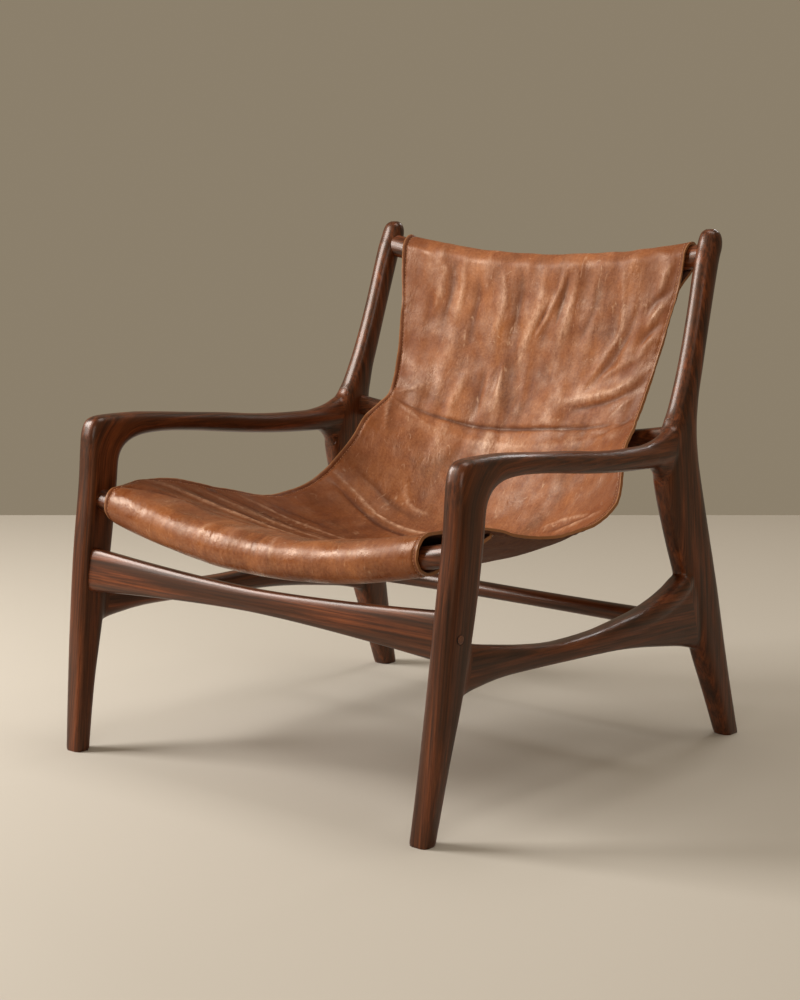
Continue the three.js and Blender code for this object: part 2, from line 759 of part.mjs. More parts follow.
// Points round a pocket from one angle to another, in the plane across the chair
function pocketArc(centre, size, lean, from, to, steps, x) {
  return Array.from({ length: steps + 1 }, (_, i) => {
    const angle = THREE.MathUtils.degToRad(lerp(from, to, i / steps));
    const p = new THREE.Vector2(Math.cos(angle) * size.x, Math.sin(angle) * size.y);
    p.rotateAround(origin2, -lean);
    return new THREE.Vector3(x, centre.x + p.x, centre.y + p.y);
  });
}

// One section of the sling: its outline and the two bores
function slingSection(side) {
  const frontX = (side * slingFrontWidth) / 2 - leftCornerSpread * leftFlare(side);
  const topX = (side * slingTopWidth) / 2 + slingTopShift;
  const [fy, fz] = frontBarMiddle(frontX / frontBarSpan);
  const [ty, tz] = topBarMiddle(topX / topBarSpan);
  const lift = lerp(-frontPocketDrop, frontPocketEndLift, side * side);
  const frontCentre = new THREE.Vector2(fy + frontPocketSetback, fz + lift);
  const topCentre = new THREE.Vector2(ty + topPocketShift, tz - topPocketShift);
  const frontOuter = new THREE.Vector2(1, 1).multiplyScalar(frontPocketDiameter / 2);
  const frontInner = frontOuter.clone().subScalar(leatherThickness);
  const slack = clearance + topPocketSlack;
  const topInner = new THREE.Vector2(topBarOvalDepth / 2 + slack, topBarOvalHeight / 2 + slack);
  const topOuter = topInner.clone().addScalar(leatherThickness);
  const upper = slingShares.map((_, row) =>
    sheetPoint(row, side).addScaledVector(sheetNormal(row, side), -foldDepthAt(row, side)));
  const under = upper.map((p, row) =>
    p.clone().addScaledVector(sheetNormal(row, side), -leatherThickness));
  const outline = [
    ...pocketArc(frontCentre, frontOuter, 0, ...frontPocketTurn, pocketSteps, frontX),
    ...upper,
    ...pocketArc(topCentre, topOuter, topBarLean, ...topPocketTurn, pocketSteps, topX),
    ...under.toReversed(),
  ];
  const bores = [
    pocketArc(frontCentre, frontInner, 0, 0, 360 - 360 / boreSteps, boreSteps - 1, frontX),
    pocketArc(topCentre, topInner, topBarLean, 0, 360 - 360 / boreSteps, boreSteps - 1, topX),
  ];
  return [outline, ...bores];
}
const frontPocketTurn = [20, -295];
const topPocketTurn = [205, -130];

// Walls join each section to the next, and the two end sections are filled flat
function slingSkin() {
  const sides = Array.from({ length: slingColumns + 1 }, (_, i) => (2 * i) / slingColumns - 1);
  const sections = sides.map(slingSection);
  const size = sections[0].flat().length;
  const positions = sections.flat(2).flatMap((p) => [p.x, p.y, p.z]);
  const index = [];
  for (let section = 0; section < slingColumns; section += 1) {
    let start = section * size;
    for (const loop of sections[0]) {
      for (let i = 0; i < loop.length; i += 1) {
        const a = start + i;
        const b = start + ((i + 1) % loop.length);
        index.push(b, a, a + size, b, a + size, b + size);
      }
      start += loop.length;
    }
  }
  const [outline, ...bores] = sections[0].map((loop) => loop.map((p) => new THREE.Vector2(p.y, p.z)));
  const last = slingColumns * size;
  for (const [a, b, c] of THREE.ShapeUtils.triangulateShape(outline, bores)) {
    index.push(a, c, b, a + last, b + last, c + last);
  }
  return outward(positions, index);
}
place("sling", toSolid(slingSkin()), cognac);

// The origin lies on the floor, under the middle of the chair
const bounds = new THREE.Box3().setFromObject(chair);
const middle = bounds.getCenter(new THREE.Vector3());
chair.children.forEach((part) => part.geometry.translate(-middle.x, -middle.y, -bounds.min.z));

export default chair;
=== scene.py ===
import math
import bpy
import numpy as np
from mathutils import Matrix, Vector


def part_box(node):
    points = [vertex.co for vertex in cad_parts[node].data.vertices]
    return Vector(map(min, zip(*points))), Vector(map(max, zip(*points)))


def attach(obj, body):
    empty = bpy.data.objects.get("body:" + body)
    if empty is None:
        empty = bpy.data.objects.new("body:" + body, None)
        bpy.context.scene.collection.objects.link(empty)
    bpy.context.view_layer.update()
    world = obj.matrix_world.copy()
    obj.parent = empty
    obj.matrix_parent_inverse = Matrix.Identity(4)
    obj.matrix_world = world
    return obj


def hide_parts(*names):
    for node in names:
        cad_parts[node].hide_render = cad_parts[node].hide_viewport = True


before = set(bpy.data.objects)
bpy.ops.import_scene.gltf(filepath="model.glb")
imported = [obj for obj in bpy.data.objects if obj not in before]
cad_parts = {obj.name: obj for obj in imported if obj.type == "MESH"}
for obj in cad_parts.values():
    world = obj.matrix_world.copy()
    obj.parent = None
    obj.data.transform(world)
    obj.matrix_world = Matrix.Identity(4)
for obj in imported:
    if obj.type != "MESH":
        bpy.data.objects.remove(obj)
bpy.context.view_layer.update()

# Side frames
# Front leg, arm, stretcher and rear post of each side, sawn out of walnut boards and doweled
# end to end, then shaped by hand into one flowing form, stained dark and lacquered.

ARM_HEIGHT = 0.541
OVERALL_HEIGHT = 0.84
REACH = 0.771
FRAME_THICKNESS = 0.0404
STRETCHER_HEIGHT = 0.224
STRETCHER_DEPTH = 0.032
RING_SIDES = 32
# From side to side between the frames' middles: in front at the floor and the arm, and at the
# rear at the floor, the arm and the post's top
FRONT_SPREAD = (0.735, 0.773)
REAR_SPREAD = (0.76, 0.704, 0.678)
# The rear leg's and post's line, in shares of the reach: at the floor, at their bend and on top
REAR_LINE = (1.01, 0.83, 0.985)
BEND_SHARE = 0.86

# Each row: one edge's reach and height, the other edge's reach and height, and the thickness
FRONT_MEMBER = [
    (-0.018, 0, 0.02, 0, 0.84),
    (-0.001, 0.2, 0.046, 0.2, 0.93),
    (0.014, 0.389, 0.077, 0.384, 1),
    (0.031, 0.6, 0.108, 0.59, 1),
    (0.05, 0.79, 0.129, 0.772, 1),
    (0.057, 0.9, 0.135, 0.845, 1),
    (0.061, 0.955, 0.141, 0.875, 1),
    (0.073, 0.99, 0.151, 0.896, 1.02),
    (0.1, 1.002, 0.165, 0.911, 1.02),
    (0.138, 1.004, 0.186, 0.923, 1),
    (0.192, 1.001, 0.215, 0.93, 1.02),
    (0.266, 0.992, 0.27, 0.931, 1.05),
    (0.35, 0.98, 0.352, 0.921, 1.07),
    (0.441, 0.968, 0.441, 0.905, 1.07),
    (0.532, 0.953, 0.532, 0.89, 1.05),
    (0.61, 0.945, 0.61, 0.88, 1.04),
    (0.681, 0.942, 0.681, 0.874, 1.03),
    (0.733, 0.941, 0.729, 0.871, 1.03),
    (0.776, 0.939, 0.776, 0.871, 1.01),
    (0.807, 0.933, 0.807, 0.877, 0.94),
    (0.83, 0.926, 0.83, 0.885, 0.8),
]
ARM_ROOT = [
    (0.655, 0.938, 0.655, 0.889, 0.8),
    (0.713, 0.942, 0.712, 0.877, 0.87),
    (0.759, 0.951, 0.746, 0.867, 0.9),
    (0.794, 0.968, 0.765, 0.846, 0.92),
    (0.821, 0.993, 0.777, 0.813, 0.92),
    (0.846, 1.064, 0.791, 0.772, 0.9),
    (0.866, 1.171, 0.814, 0.73, 0.85),
    (0.887, 1.258, 0.843, 0.699, 0.75),
]
REAR_MEMBER = [
    (0.988, 0, 1.034, 0, 0.84),
    (0.944, 0.148, 1.008, 0.148, 0.93),
    (0.897, 0.297, 0.985, 0.3, 1),
    (0.854, 0.48, 0.961, 0.485, 1),
    (0.808, 0.656, 0.932, 0.67, 1),
    (0.775, 0.813, 0.907, 0.835, 1),
    (0.779, 0.877, 0.9, 0.905, 1),
    (0.795, 0.941, 0.898, 0.965, 1),
    (0.824, 1.011, 0.902, 1.032, 0.97),
    (0.845, 1.111, 0.91, 1.133, 0.94),
    (0.868, 1.245, 0.925, 1.26, 0.92),
    (0.89, 1.397, 0.942, 1.406, 0.9),
    (0.911, 1.564, 0.962, 1.573, 0.9),
    (0.93, 1.732, 0.982, 1.736, 0.92),
    (0.944, 1.843, 0.995, 1.843, 0.96),
    (0.955, 1.907, 1.004, 1.895, 0.98),
    (0.962, 1.952, 1.006, 1.942, 0.93),
    (0.969, 1.984, 1.002, 1.978, 0.75),
    (0.98, 2, 0.992, 2, 0.4),
]
# Stretcher rows give heights as shares of its depth above and below its middle line
STRETCHER = [
    (0.078, 2.05, 0.054, -1.15, 0.85),
    (0.101, 1.77, 0.083, -0.58, 0.9),
    (0.147, 1.48, 0.14, -0.36, 0.94),
    (0.208, 1.19, 0.205, -0.27, 0.94),
    (0.292, 0.83, 0.288, -0.33, 0.94),
    (0.389, 0.55, 0.389, -0.45, 0.94),
    (0.506, 0.52, 0.506, -0.61, 0.94),
    (0.597, 0.68, 0.599, -0.78, 0.94),
    (0.674, 0.86, 0.681, -1.02, 0.94),
    (0.746, 1.21, 0.759, -1.32, 0.93),
    (0.804, 1.65, 0.83, -1.62, 0.91),
    (0.843, 2.08, 0.887, -1.98, 0.9),
    (0.874, 2.52, 0.923, -2.28, 0.8),
]
STRETCHER_RIDGE = [
    (0.519, 0.5, 0.52, -0.38, 0.9),
    (0.597, 0.66, 0.601, -0.31, 0.98),
    (0.674, 0.85, 0.68, -0.13, 1.02),
    (0.746, 1.19, 0.754, 0.22, 1.04),
    (0.798, 1.57, 0.808, 0.63, 1.04),
    (0.834, 1.94, 0.846, 1.06, 1.02),
    (0.859, 2.17, 0.872, 1.44, 0.85),
]


def height_at(share):
    """Shares up to 1 are of the arm's height, and past 1 they run on to the post's top."""
    if share <= 1:
        return share * ARM_HEIGHT
    return ARM_HEIGHT + (share - 1) * (OVERALL_HEIGHT - ARM_HEIGHT)


def stretcher_level(share):
    return STRETCHER_HEIGHT + share * STRETCHER_DEPTH


def crossing(rows, column, z):
    """Reach from the front foot at which one edge of a rising limb comes to a height."""
    for low, high in zip(rows, rows[1:]):
        heights = height_at(low[column + 1]), height_at(high[column + 1])
        if heights[0] <= z <= heights[1]:
            return REACH * np.interp(z, heights, (low[column], high[column]))


def limb_middle(rows, z):
    return (crossing(rows, 0, z) + crossing(rows, 2, z)) / 2


def limb_lean(rows, z):
    rise = limb_middle(rows, z + LEAN_SPAN) - limb_middle(rows, z - LEAN_SPAN)
    return round(math.atan2(rise, 2 * LEAN_SPAN), 4)


def place(reach):
    """Depth in the shared frame for a reach from the front foot, to a tenth of a millimetre."""
    return round(reach - DEPTH_MIDDLE, 4)


LEAN_SPAN = 0.041
FRONT_BAR_Z = 0.407
# The solid front bar lies in the middle of the legs, so it shows where the reach starts
DEPTH_MIDDLE = round(limb_middle(FRONT_MEMBER, FRONT_BAR_Z) - np.mean(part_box("front_bar"), axis=0)[1], 5)


def frame_middle(y, z):
    """Sideways place of the frame's middle: the legs splay, and arms and posts draw in to the back."""
    bend = BEND_SHARE * ARM_HEIGHT
    rear_line = np.interp(z, (0, bend, OVERALL_HEIGHT), REAR_LINE)
    rise = min(max(z / ARM_HEIGHT, 0), 1)
    front = (FRONT_SPREAD[0] + (FRONT_SPREAD[1] - FRONT_SPREAD[0]) * rise * (2 - rise)) / 2
    rear = np.interp(z, (0, ARM_HEIGHT, OVERALL_HEIGHT), REAR_SPREAD) / 2
    share = min(max((y + DEPTH_MIDDLE) / (rear_line * REACH), 0), 1)
    return front + (rear - front) * share


def smoothed(rows, steps):
    """The rows with a smooth curve of further ones between each two."""
    rows = np.array(rows, float)
    out = []
    for i in range(len(rows) - 1):
        p = [rows[min(max(i + k, 0), len(rows) - 1)] for k in (-1, 0, 1, 2)]
        for t in np.arange(steps) / steps:
            out.append(0.5 * (2 * p[1] + (p[2] - p[0]) * t
                              + (2 * p[0] - 5 * p[1] + 4 * p[2] - p[3]) * t ** 2
                              + (3 * p[1] - p[0] - 3 * p[2] + p[3]) * t ** 3))
    out.append(rows[-1])
    return np.array(out)


def rounded_ring(sides, fullness):
    """Unit ring of a rounded square: fullness 2 is a circle, larger is squarer."""
    turn = (np.arange(sides) + 0.5) / sides * 2 * math.pi
    c, s = np.cos(turn), np.sin(turn)
    return np.sign(c) * np.abs(c) ** (2 / fullness), np.sign(s) * np.abs(s) ** (2 / fullness)


def only(*objs):
    """Selects these objects and nothing else, the first one active."""
    bpy.ops.object.select_all(action="DESELECT")
    for o in objs:
        o.select_set(True)
    bpy.context.view_layer.objects.active = objs[0]


def face_outwards(obj):
    """Recalculates the normals of a closed mesh."""
    only(obj)
    bpy.ops.object.mode_set(mode="EDIT")
    bpy.ops.mesh.select_all(action="SELECT")
    bpy.ops.mesh.normals_make_consistent(inside=False)
    bpy.ops.object.mode_set(mode="OBJECT")


def from_rings(name, rings):
    """A closed object over rings of equal point count."""
    sides = len(rings[0])
    faces = [(r * sides + i, r * sides + (i + 1) % sides,
              (r + 1) * sides + (i + 1) % sides, (r + 1) * sides + i)
             for r in range(len(rings) - 1) for i in range(sides)]
    faces.append(tuple(reversed(range(sides))))
    faces.append(tuple(range((len(rings) - 1) * sides, len(rings) * sides)))
    mesh = bpy.data.meshes.new(name)
    mesh.from_pydata([tuple(p) for ring in rings for p in ring], [], faces)
    made = bpy.data.objects.new(name, mesh)
    bpy.context.collection.objects.link(made)
    face_outwards(made)
    return made


def modify(obj, kind, **settings):
    """Adds a modifier and applies it."""
    only(obj)
    modifier = obj.modifiers.new(kind.lower(), kind)
    for key, value in settings.items():
        setattr(modifier, key, value)
    bpy.ops.object.modifier_apply(modifier=modifier.name)


def member(name, rows, height_of, fullness):
    """One rounded limb of the side frame, its fullness given at even steps along it."""
    rings = []
    fine = smoothed(rows, 6)
    places = np.linspace(0, len(fine) - 1, len(fullness))
    for i, (y1, z1, y2, z2, thick) in enumerate(fine):
        across, along = rounded_ring(RING_SIDES, np.interp(i, places, fullness))
        a = np.array((y1 * REACH - DEPTH_MIDDLE, height_of(z1)))
        b = np.array((y2 * REACH - DEPTH_MIDDLE, height_of(z2)))
        middle, half = (a + b) / 2, (a - b) / 2
        x = frame_middle(*middle) + across * thick * FRAME_THICKNESS / 2
        rings.append(np.stack([x, middle[0] + along * half[0], middle[1] + along * half[1]], 1))
    return from_rings(name, rings)


# The limbs are joined and remeshed, so that they flow into one another
VOXEL, SOLE_HEIGHT = 0.0023, 0.0012
right_frame = member("right_frame", FRONT_MEMBER, height_at, (4, 4, 2.7, 2.2, 2.2))
limbs = [
    member("rear", REAR_MEMBER, height_at, (4, 3.6, 2.6, 2.3, 2.3)),
    member("root", ARM_ROOT, height_at, (2.3, 2.6)),
    member("stretcher", STRETCHER, stretcher_level, (3, 3)),
    member("ridge", STRETCHER_RIDGE, stretcher_level, (3, 3)),
]
only(right_frame, *limbs)
bpy.ops.object.join()
modify(right_frame, "REMESH", mode="VOXEL", voxel_size=VOXEL)
modify(right_frame, "SMOOTH", factor=0.5, iterations=9)
# The soles are planed flat on the floor
for vertex in right_frame.data.vertices:
    if vertex.co[2] < SOLE_HEIGHT:
        vertex.co[2] = 0

# Saw lines between the boards, in side view: where each runs, and which faces it may cut. The
# arm's two lie above the height between arm and stretcher, and the stretcher's two below it.
LEG_TOP = round(height_at(0.836), 4)
MIDWAY = 0.345


def by_limb(rows, column, stub, level):
    """A point that keeps off a limb's face by a share of the stretcher's depth."""
    z = stretcher_level(level)
    return place(crossing(rows, column, z) + stub * STRETCHER_DEPTH), round(z, 4)


def on_side(reach, height):
    return place(reach * REACH), round(height_at(height), 4)


SAWS = {
    "leg": ((-0.3, LEG_TOP), (-0.2, LEG_TOP), lambda y, z: (y < 0) & (z > MIDWAY)),
    "front": (by_limb(FRONT_MEMBER, 2, 0.15, -1.066), by_limb(FRONT_MEMBER, 2, 0.15, 2.434),
              lambda y, z: (y < 0) & (z < MIDWAY)),
    "rear": (by_limb(REAR_MEMBER, 0, -0.34, -2.62), by_limb(REAR_MEMBER, 0, -0.1, 2.84),
             lambda y, z: (y > 0) & (z < MIDWAY)),
    "arm": (on_side(0.765, 0.763), on_side(0.832, 1.074), lambda y, z: (y > 0) & (z > MIDWAY)),
}


def centres(obj):
    found = np.empty(3 * len(obj.data.polygons))
    obj.data.polygons.foreach_get("center", found)
    return found.reshape(-1, 3)


def select_faces(obj, chosen):
    """Leaves just the chosen faces of the active object selected, in edit mode."""
    bpy.ops.object.mode_set(mode="EDIT")
    bpy.ops.mesh.select_mode(type="FACE")
    bpy.ops.mesh.select_all(action="DESELECT")
    bpy.ops.object.mode_set(mode="OBJECT")
    obj.data.polygons.foreach_set("select", np.asarray(chosen, bool))
    bpy.ops.object.mode_set(mode="EDIT")


def behind(line, y, z):
    """Which points lie on the far side of a saw line, looking from the front leg."""
    (y1, z1), (y2, z2) = line[:2]
    return (y - y1) * (z2 - z1) - (z - z1) * (y2 - y1) > 0


for line in SAWS.values():
    (y1, z1), (y2, z2), zone = line
    mid = centres(right_frame)
    only(right_frame)
    select_faces(right_frame, zone(mid[:, 1], mid[:, 2]))
    bpy.ops.mesh.bisect(plane_co=(0, y1, z1), plane_no=(0, z2 - z1, y1 - y2))
    bpy.ops.object.mode_set(mode="OBJECT")

mid = centres(right_frame)
y, z = mid[:, 1], mid[:, 2]
in_leg = np.where(z < MIDWAY, ~behind(SAWS["front"], y, z), z < LEG_TOP) & (y < 0)
in_post = np.where(z < MIDWAY, behind(SAWS["rear"], y, z), behind(SAWS["arm"], y, z)) & (y > 0)
boards = {
    "front_leg": in_leg,
    "rear_post": in_post,
    "arm": ~in_leg & ~in_post & (z > MIDWAY),
    "side_stretcher": ~in_leg & ~in_post & (z <= MIDWAY),
}
# How the grain runs in each board, in side view; leg and arm are matched round the front corner
GRAIN = {"rear_post": (-0.02, 1.0), "side_stretcher": (0.98, -0.05)}
CORNER = (-0.235, 0.455)
CORNER_RADIUS = 0.07
LEG_ANGLE = math.radians(174)


def set_grain(obj, across, up, along, seed):
    """Gives a piece its wood coordinates: two across the grain, then one along it, in metres."""
    layer = obj.data.attributes.new("grain", "FLOAT_VECTOR", "POINT")
    layer.data.foreach_set("vector", (np.stack([across, up, along], 1) + seed * 0.731).ravel())


def points_of(obj):
    co = np.empty(3 * len(obj.data.vertices))
    obj.data.vertices.foreach_get("co", co)
    return co.reshape(-1, 3)


def corner_grain(obj, seed):
    """Grain that runs down the leg, round the front corner and back along the arm."""
    co = points_of(obj)
    y, z = co[:, 1] - CORNER[0], co[:, 2] - CORNER[1]
    angle = np.arctan2(z, y)
    angle = np.where(angle < -math.pi / 2, angle + 2 * math.pi, angle)
    c, s = math.cos(LEG_ANGLE), math.sin(LEG_ANGLE)
    on_arm, on_leg = angle < math.pi / 2, angle > LEG_ANGLE
    up = np.where(on_arm, z, np.where(on_leg, y * c + z * s, np.hypot(y, z)))
    down = CORNER_RADIUS * (LEG_ANGLE - math.pi / 2) + s * y - c * z
    along = np.where(on_arm, -y, np.where(on_leg, down, CORNER_RADIUS * (angle - math.pi / 2)))
    set_grain(obj, np.abs(co[:, 0]), up, along, seed)


def straight_grain(obj, direction, seed):
    d = np.array(direction, float)
    d /= np.linalg.norm(d)
    side = np.cross(d, (1, 0, 0)) if abs(d[0]) < 0.9 else np.cross(d, (0, 0, 1))
    side /= np.linalg.norm(side)
    co = points_of(obj)
    set_grain(obj, co @ np.cross(side, d), co @ side, co @ d, seed)


def srgb(code):
    """Linear colour of an sRGB hex code."""
    parts = [int(code[i:i + 2], 16) / 255 for i in (1, 3, 5)]
    return [p / 12.92 if p <= 0.04045 else ((p + 0.055) / 1.055) ** 2.4 for p in parts] + [1.0]


def add(tree, kind, inputs=None, stops=None, **settings):
    """Adds a shader node, its inputs from values or from other nodes' sockets."""
    made = tree.nodes.new(kind)
    for key, value in settings.items():
        setattr(made, key, value)
    for key, value in (inputs or {}).items():
        if isinstance(value, bpy.types.NodeSocket):
            tree.links.new(value, made.inputs[key])
        else:
            made.inputs[key].default_value = value
    if stops:
        ramp = made.color_ramp
        while len(ramp.elements) < len(stops):
            ramp.elements.new(0.5)
        for element, (place, code) in zip(ramp.elements, stops):
            element.position = place
            element.color = srgb(code)
    return made


def new_material(name):
    """A material with its node tree and its main shader."""
    made = bpy.data.materials.new(name)
    made.use_nodes = True
    return made, made.node_tree, made.node_tree.nodes["Principled BSDF"]


# Stained walnut: long dark streaks with a red-brown glow between them, under a satin lacquer
walnut, tree, shader = new_material("stained walnut")
grain = add(tree, "ShaderNodeAttribute", attribute_name="grain").outputs["Vector"]
# Sizes across and along the grain, in metres. Walnut's pores are about 0.2 mm wide and are drawn
# coarser, so that they show.
FIGURE_SIZE = (0.014, 0.014, 0.3)
STREAK_SIZE = (0.003, 0.003, 0.14)
PORE_SIZE = (0.0007, 0.0007, 0.018)


def stretched(size, detail, distortion=0.0):
    """Noise stretched along the grain, with patches of about that size in metres."""
    place = add(tree, "ShaderNodeMapping", {"Vector": grain, "Scale": [1 / s for s in size]})
    return add(tree, "ShaderNodeTexNoise", {
        "Vector": place.outputs["Vector"], "Scale": 1.0, "Detail": detail, "Distortion": distortion,
    }).outputs["Fac"]


figure = add(tree, "ShaderNodeValToRGB", {"Fac": stretched(FIGURE_SIZE, 3, 0.5)}, stops=[
    (0.3, "#321709"), (0.45, "#4e260f"), (0.6, "#683417"), (0.75, "#894722")])
streak = add(tree, "ShaderNodeValToRGB", {"Fac": stretched(STREAK_SIZE, 4)}, stops=[
    (0.36, "#6b5248"), (0.48, "#cfbfb6"), (0.64, "#ffffff")])
pore = add(tree, "ShaderNodeValToRGB", {"Fac": stretched(PORE_SIZE, 2)}, stops=[
    (0.34, "#9a857c"), (0.5, "#ffffff")])
tone = add(tree, "ShaderNodeMix", {0: 0.8, 6: figure.outputs["Color"], 7: streak.outputs["Color"]},
           data_type="RGBA", blend_type="MULTIPLY")
colour = add(tree, "ShaderNodeMix", {0: 0.5, 6: tone.outputs[2], 7: pore.outputs["Color"]},
             data_type="RGBA", blend_type="MULTIPLY")
tree.links.new(colour.outputs[2], shader.inputs["Base Color"])
bump = add(tree, "ShaderNodeBump", {"Height": pore.outputs["Color"], "Strength": 0.12,
                                    "Distance": 0.0003})
tree.links.new(bump.outputs["Normal"], shader.inputs["Normal"])
shader.inputs["Roughness"].default_value = 0.4
shader.inputs["IOR"].default_value = 1.5
shader.inputs["Specular Tint"].default_value = srgb("#e8c0a0")
shader.inputs["Coat Weight"].default_value = 0.25
shader.inputs["Coat Roughness"].default_value = 0.16


def finish_piece(obj, node, material):
    """The piece stands for a CAD node and takes its look and finish."""
    obj.data.materials.clear()
    obj.data.materials.append(material)
    only(obj)
    bpy.ops.object.shade_smooth_by_angle(angle=math.radians(38))
    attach(obj, "root")
    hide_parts(node)


def own_copy(obj, name):
    """A copy of an object, with a mesh of its own."""
    made = obj.copy()
    made.data = obj.data.copy()
    made.name = name
    bpy.context.collection.objects.link(made)
    return made


def mirror(obj):
    """Turns a right-hand piece into its left-hand twin, with its faces outwards again."""
    only(obj)
    obj.scale = (-1, 1, 1)
    bpy.ops.object.transform_apply(location=False, rotation=False, scale=True)
    face_outwards(obj)


for seed, (board, chosen) in enumerate(boards.items()):
    for side in ("right", "left"):
        piece = own_copy(right_frame, f"{side}_{board}_shaped")
        only(piece)
        select_faces(piece, ~chosen)
        bpy.ops.mesh.delete(type="FACE")
        bpy.ops.mesh.select_all(action="SELECT")
        bpy.ops.mesh.fill_holes(sides=0)
        bpy.ops.object.mode_set(mode="OBJECT")
        face_outwards(piece)
        if side == "left":
            mirror(piece)
        if board in GRAIN:
            straight_grain(piece, (0, *GRAIN[board]), seed + (10 if side == "left" else 1))
        else:
            corner_grain(piece, 14 if side == "left" else 5)
        finish_piece(piece, f"{side}_{board}", walnut)
bpy.data.objects.remove(right_frame)

# Cross rails and bars
# Turned and shaped walnut rails between the side frames. Their shoulders close against the frames,
# and the tenons sit glued in the sockets behind.

RAIL_RINGS = 81


def cross_member(name, half_span, at, size, fullness=2, lean=0.0, seed=0):
    """A rail from side to side, whose rings stand in planes along the chair."""
    deep, tall = rounded_ring(RING_SIDES, fullness)
    rings = []
    for share in np.linspace(-1, 1, RAIL_RINGS):
        y, z = at(share)
        d, t = size(share)
        v, w = deep * d / 2, tall * t / 2
        ring_y = y + v * math.cos(lean) + w * math.sin(lean)
        ring_z = z - v * math.sin(lean) + w * math.cos(lean)
        rings.append(np.stack([np.full(RING_SIDES, share * half_span), ring_y, ring_z], 1))
    made = from_rings(f"{name}_shaped", rings)
    straight_grain(made, (1, 0, 0), seed)
    finish_piece(made, name, walnut)


def bow(share):
    """How far a rail has bowed there: 1 in the middle and 0 at the ends."""
    return 1 - share * share


TOP_BAR_Z = 0.797
TOP_BAR_Y = place(limb_middle(REAR_MEMBER, TOP_BAR_Z))
TOP_BAR_LEAN = limb_lean(REAR_MEMBER, TOP_BAR_Z)
TOP_BAR_DROOP = 0.033
TOP_BAR_SIZE = (0.028, 0.04)
FRONT_BAR_Y = place(limb_middle(FRONT_MEMBER, FRONT_BAR_Z))
FRONT_BAR_DROOP = 0.045
FRONT_BAR_DIAMETER = 0.035
RAIL_BITE = 0.008


def span(y, z):
    """Half the length of a rail whose ends run a little into the frames."""
    return frame_middle(y, z) - FRAME_THICKNESS / 2 + RAIL_BITE


TOP_BAR_SPAN = span(TOP_BAR_Y, TOP_BAR_Z)
FRONT_BAR_SPAN = span(FRONT_BAR_Y, FRONT_BAR_Z)
cross_member("top_bar", TOP_BAR_SPAN, lambda s: (TOP_BAR_Y, TOP_BAR_Z - TOP_BAR_DROOP * bow(s)),
             lambda s: TOP_BAR_SIZE, lean=TOP_BAR_LEAN, seed=21)
cross_member("front_bar", FRONT_BAR_SPAN,
             lambda s: (FRONT_BAR_Y, FRONT_BAR_Z - FRONT_BAR_DROOP * bow(s)),
             lambda s: (FRONT_BAR_DIAMETER, FRONT_BAR_DIAMETER), seed=22)

LUMBAR_Z, LUMBAR_SETBACK = 0.511, 0.01
LUMBAR_Y = place(limb_middle(REAR_MEMBER, LUMBAR_Z) + LUMBAR_SETBACK)
LUMBAR_BOW, LUMBAR_DROOP = 0.046, 0.036
LUMBAR_SIZE = (0.022, 0.036)
cross_member("lumbar_rail", span(LUMBAR_Y, LUMBAR_Z),
             lambda s: (LUMBAR_Y + LUMBAR_BOW * bow(s), LUMBAR_Z - LUMBAR_DROOP * bow(s)),
             lambda s: LUMBAR_SIZE, fullness=3, seed=23)

REAR_RAIL_Z = 0.191
REAR_RAIL_Y = place(limb_middle(REAR_MEMBER, REAR_RAIL_Z))
REAR_RAIL_DIAMETER, REAR_RAIL_WAISTED = 0.035, 0.007
cross_member("rear_rail", span(REAR_RAIL_Y, REAR_RAIL_Z), lambda s: (REAR_RAIL_Y, REAR_RAIL_Z),
             lambda s: (REAR_RAIL_DIAMETER - REAR_RAIL_WAISTED * bow(s),) * 2, seed=24)

FRONT_RAIL_Z, FRONT_RAIL_SETBACK, FRONT_RAIL_THICKNESS = 0.294, 0.009, 0.026
FRONT_RAIL_Y = place(crossing(FRONT_MEMBER, 0, FRONT_RAIL_Z) + FRONT_RAIL_SETBACK
                     + FRONT_RAIL_THICKNESS / 2)
FRONT_RAIL_LEAN = limb_lean(FRONT_MEMBER, FRONT_RAIL_Z)
FRONT_RAIL_WAIST, FRONT_RAIL_GROWTH = 0.036, 0.036
cross_member("front_rail", span(FRONT_RAIL_Y, FRONT_RAIL_Z), lambda s: (FRONT_RAIL_Y, FRONT_RAIL_Z),
             lambda s: (FRONT_RAIL_THICKNESS, FRONT_RAIL_WAIST + FRONT_RAIL_GROWTH * abs(s) ** 1.6),
             fullness=4, lean=FRONT_RAIL_LEAN, seed=25)

# Sling
# One hide of vegetable-tanned cognac leather, doubled at its edges, with a pocket sewn at each end.
# It hangs between the two bars, creased where it bends and paled on its folds by rubbing and a painted
# highlight, with painted shade in its creases.

LEATHER = 0.0046
PLY_GAP = 0.0012
FRONT_WIDTH, WAIST_WIDTH, TOP_WIDTH = 0.642, 0.538, 0.6
TOP_SHIFT = 0.009
# The front corner on the left is spread outwards and upwards
CORNER_ASIDE, CORNER_RISE = 0.013, 0.009
# The front pocket's middle lies this far behind the bar's, and above it at the sheet's middle and edges
POCKET_CENTRE_FRONT = (0.006, -0.004, 0.005)
POCKET_RADIUS_FRONT = 0.0325
POCKET_EASE_TOP = 0.007
# First and last angle in degrees, and the number of lines, round each pocket
FRONT_TURN = (-86, -280, 41)
TOP_TURN = (200, -25, 33)

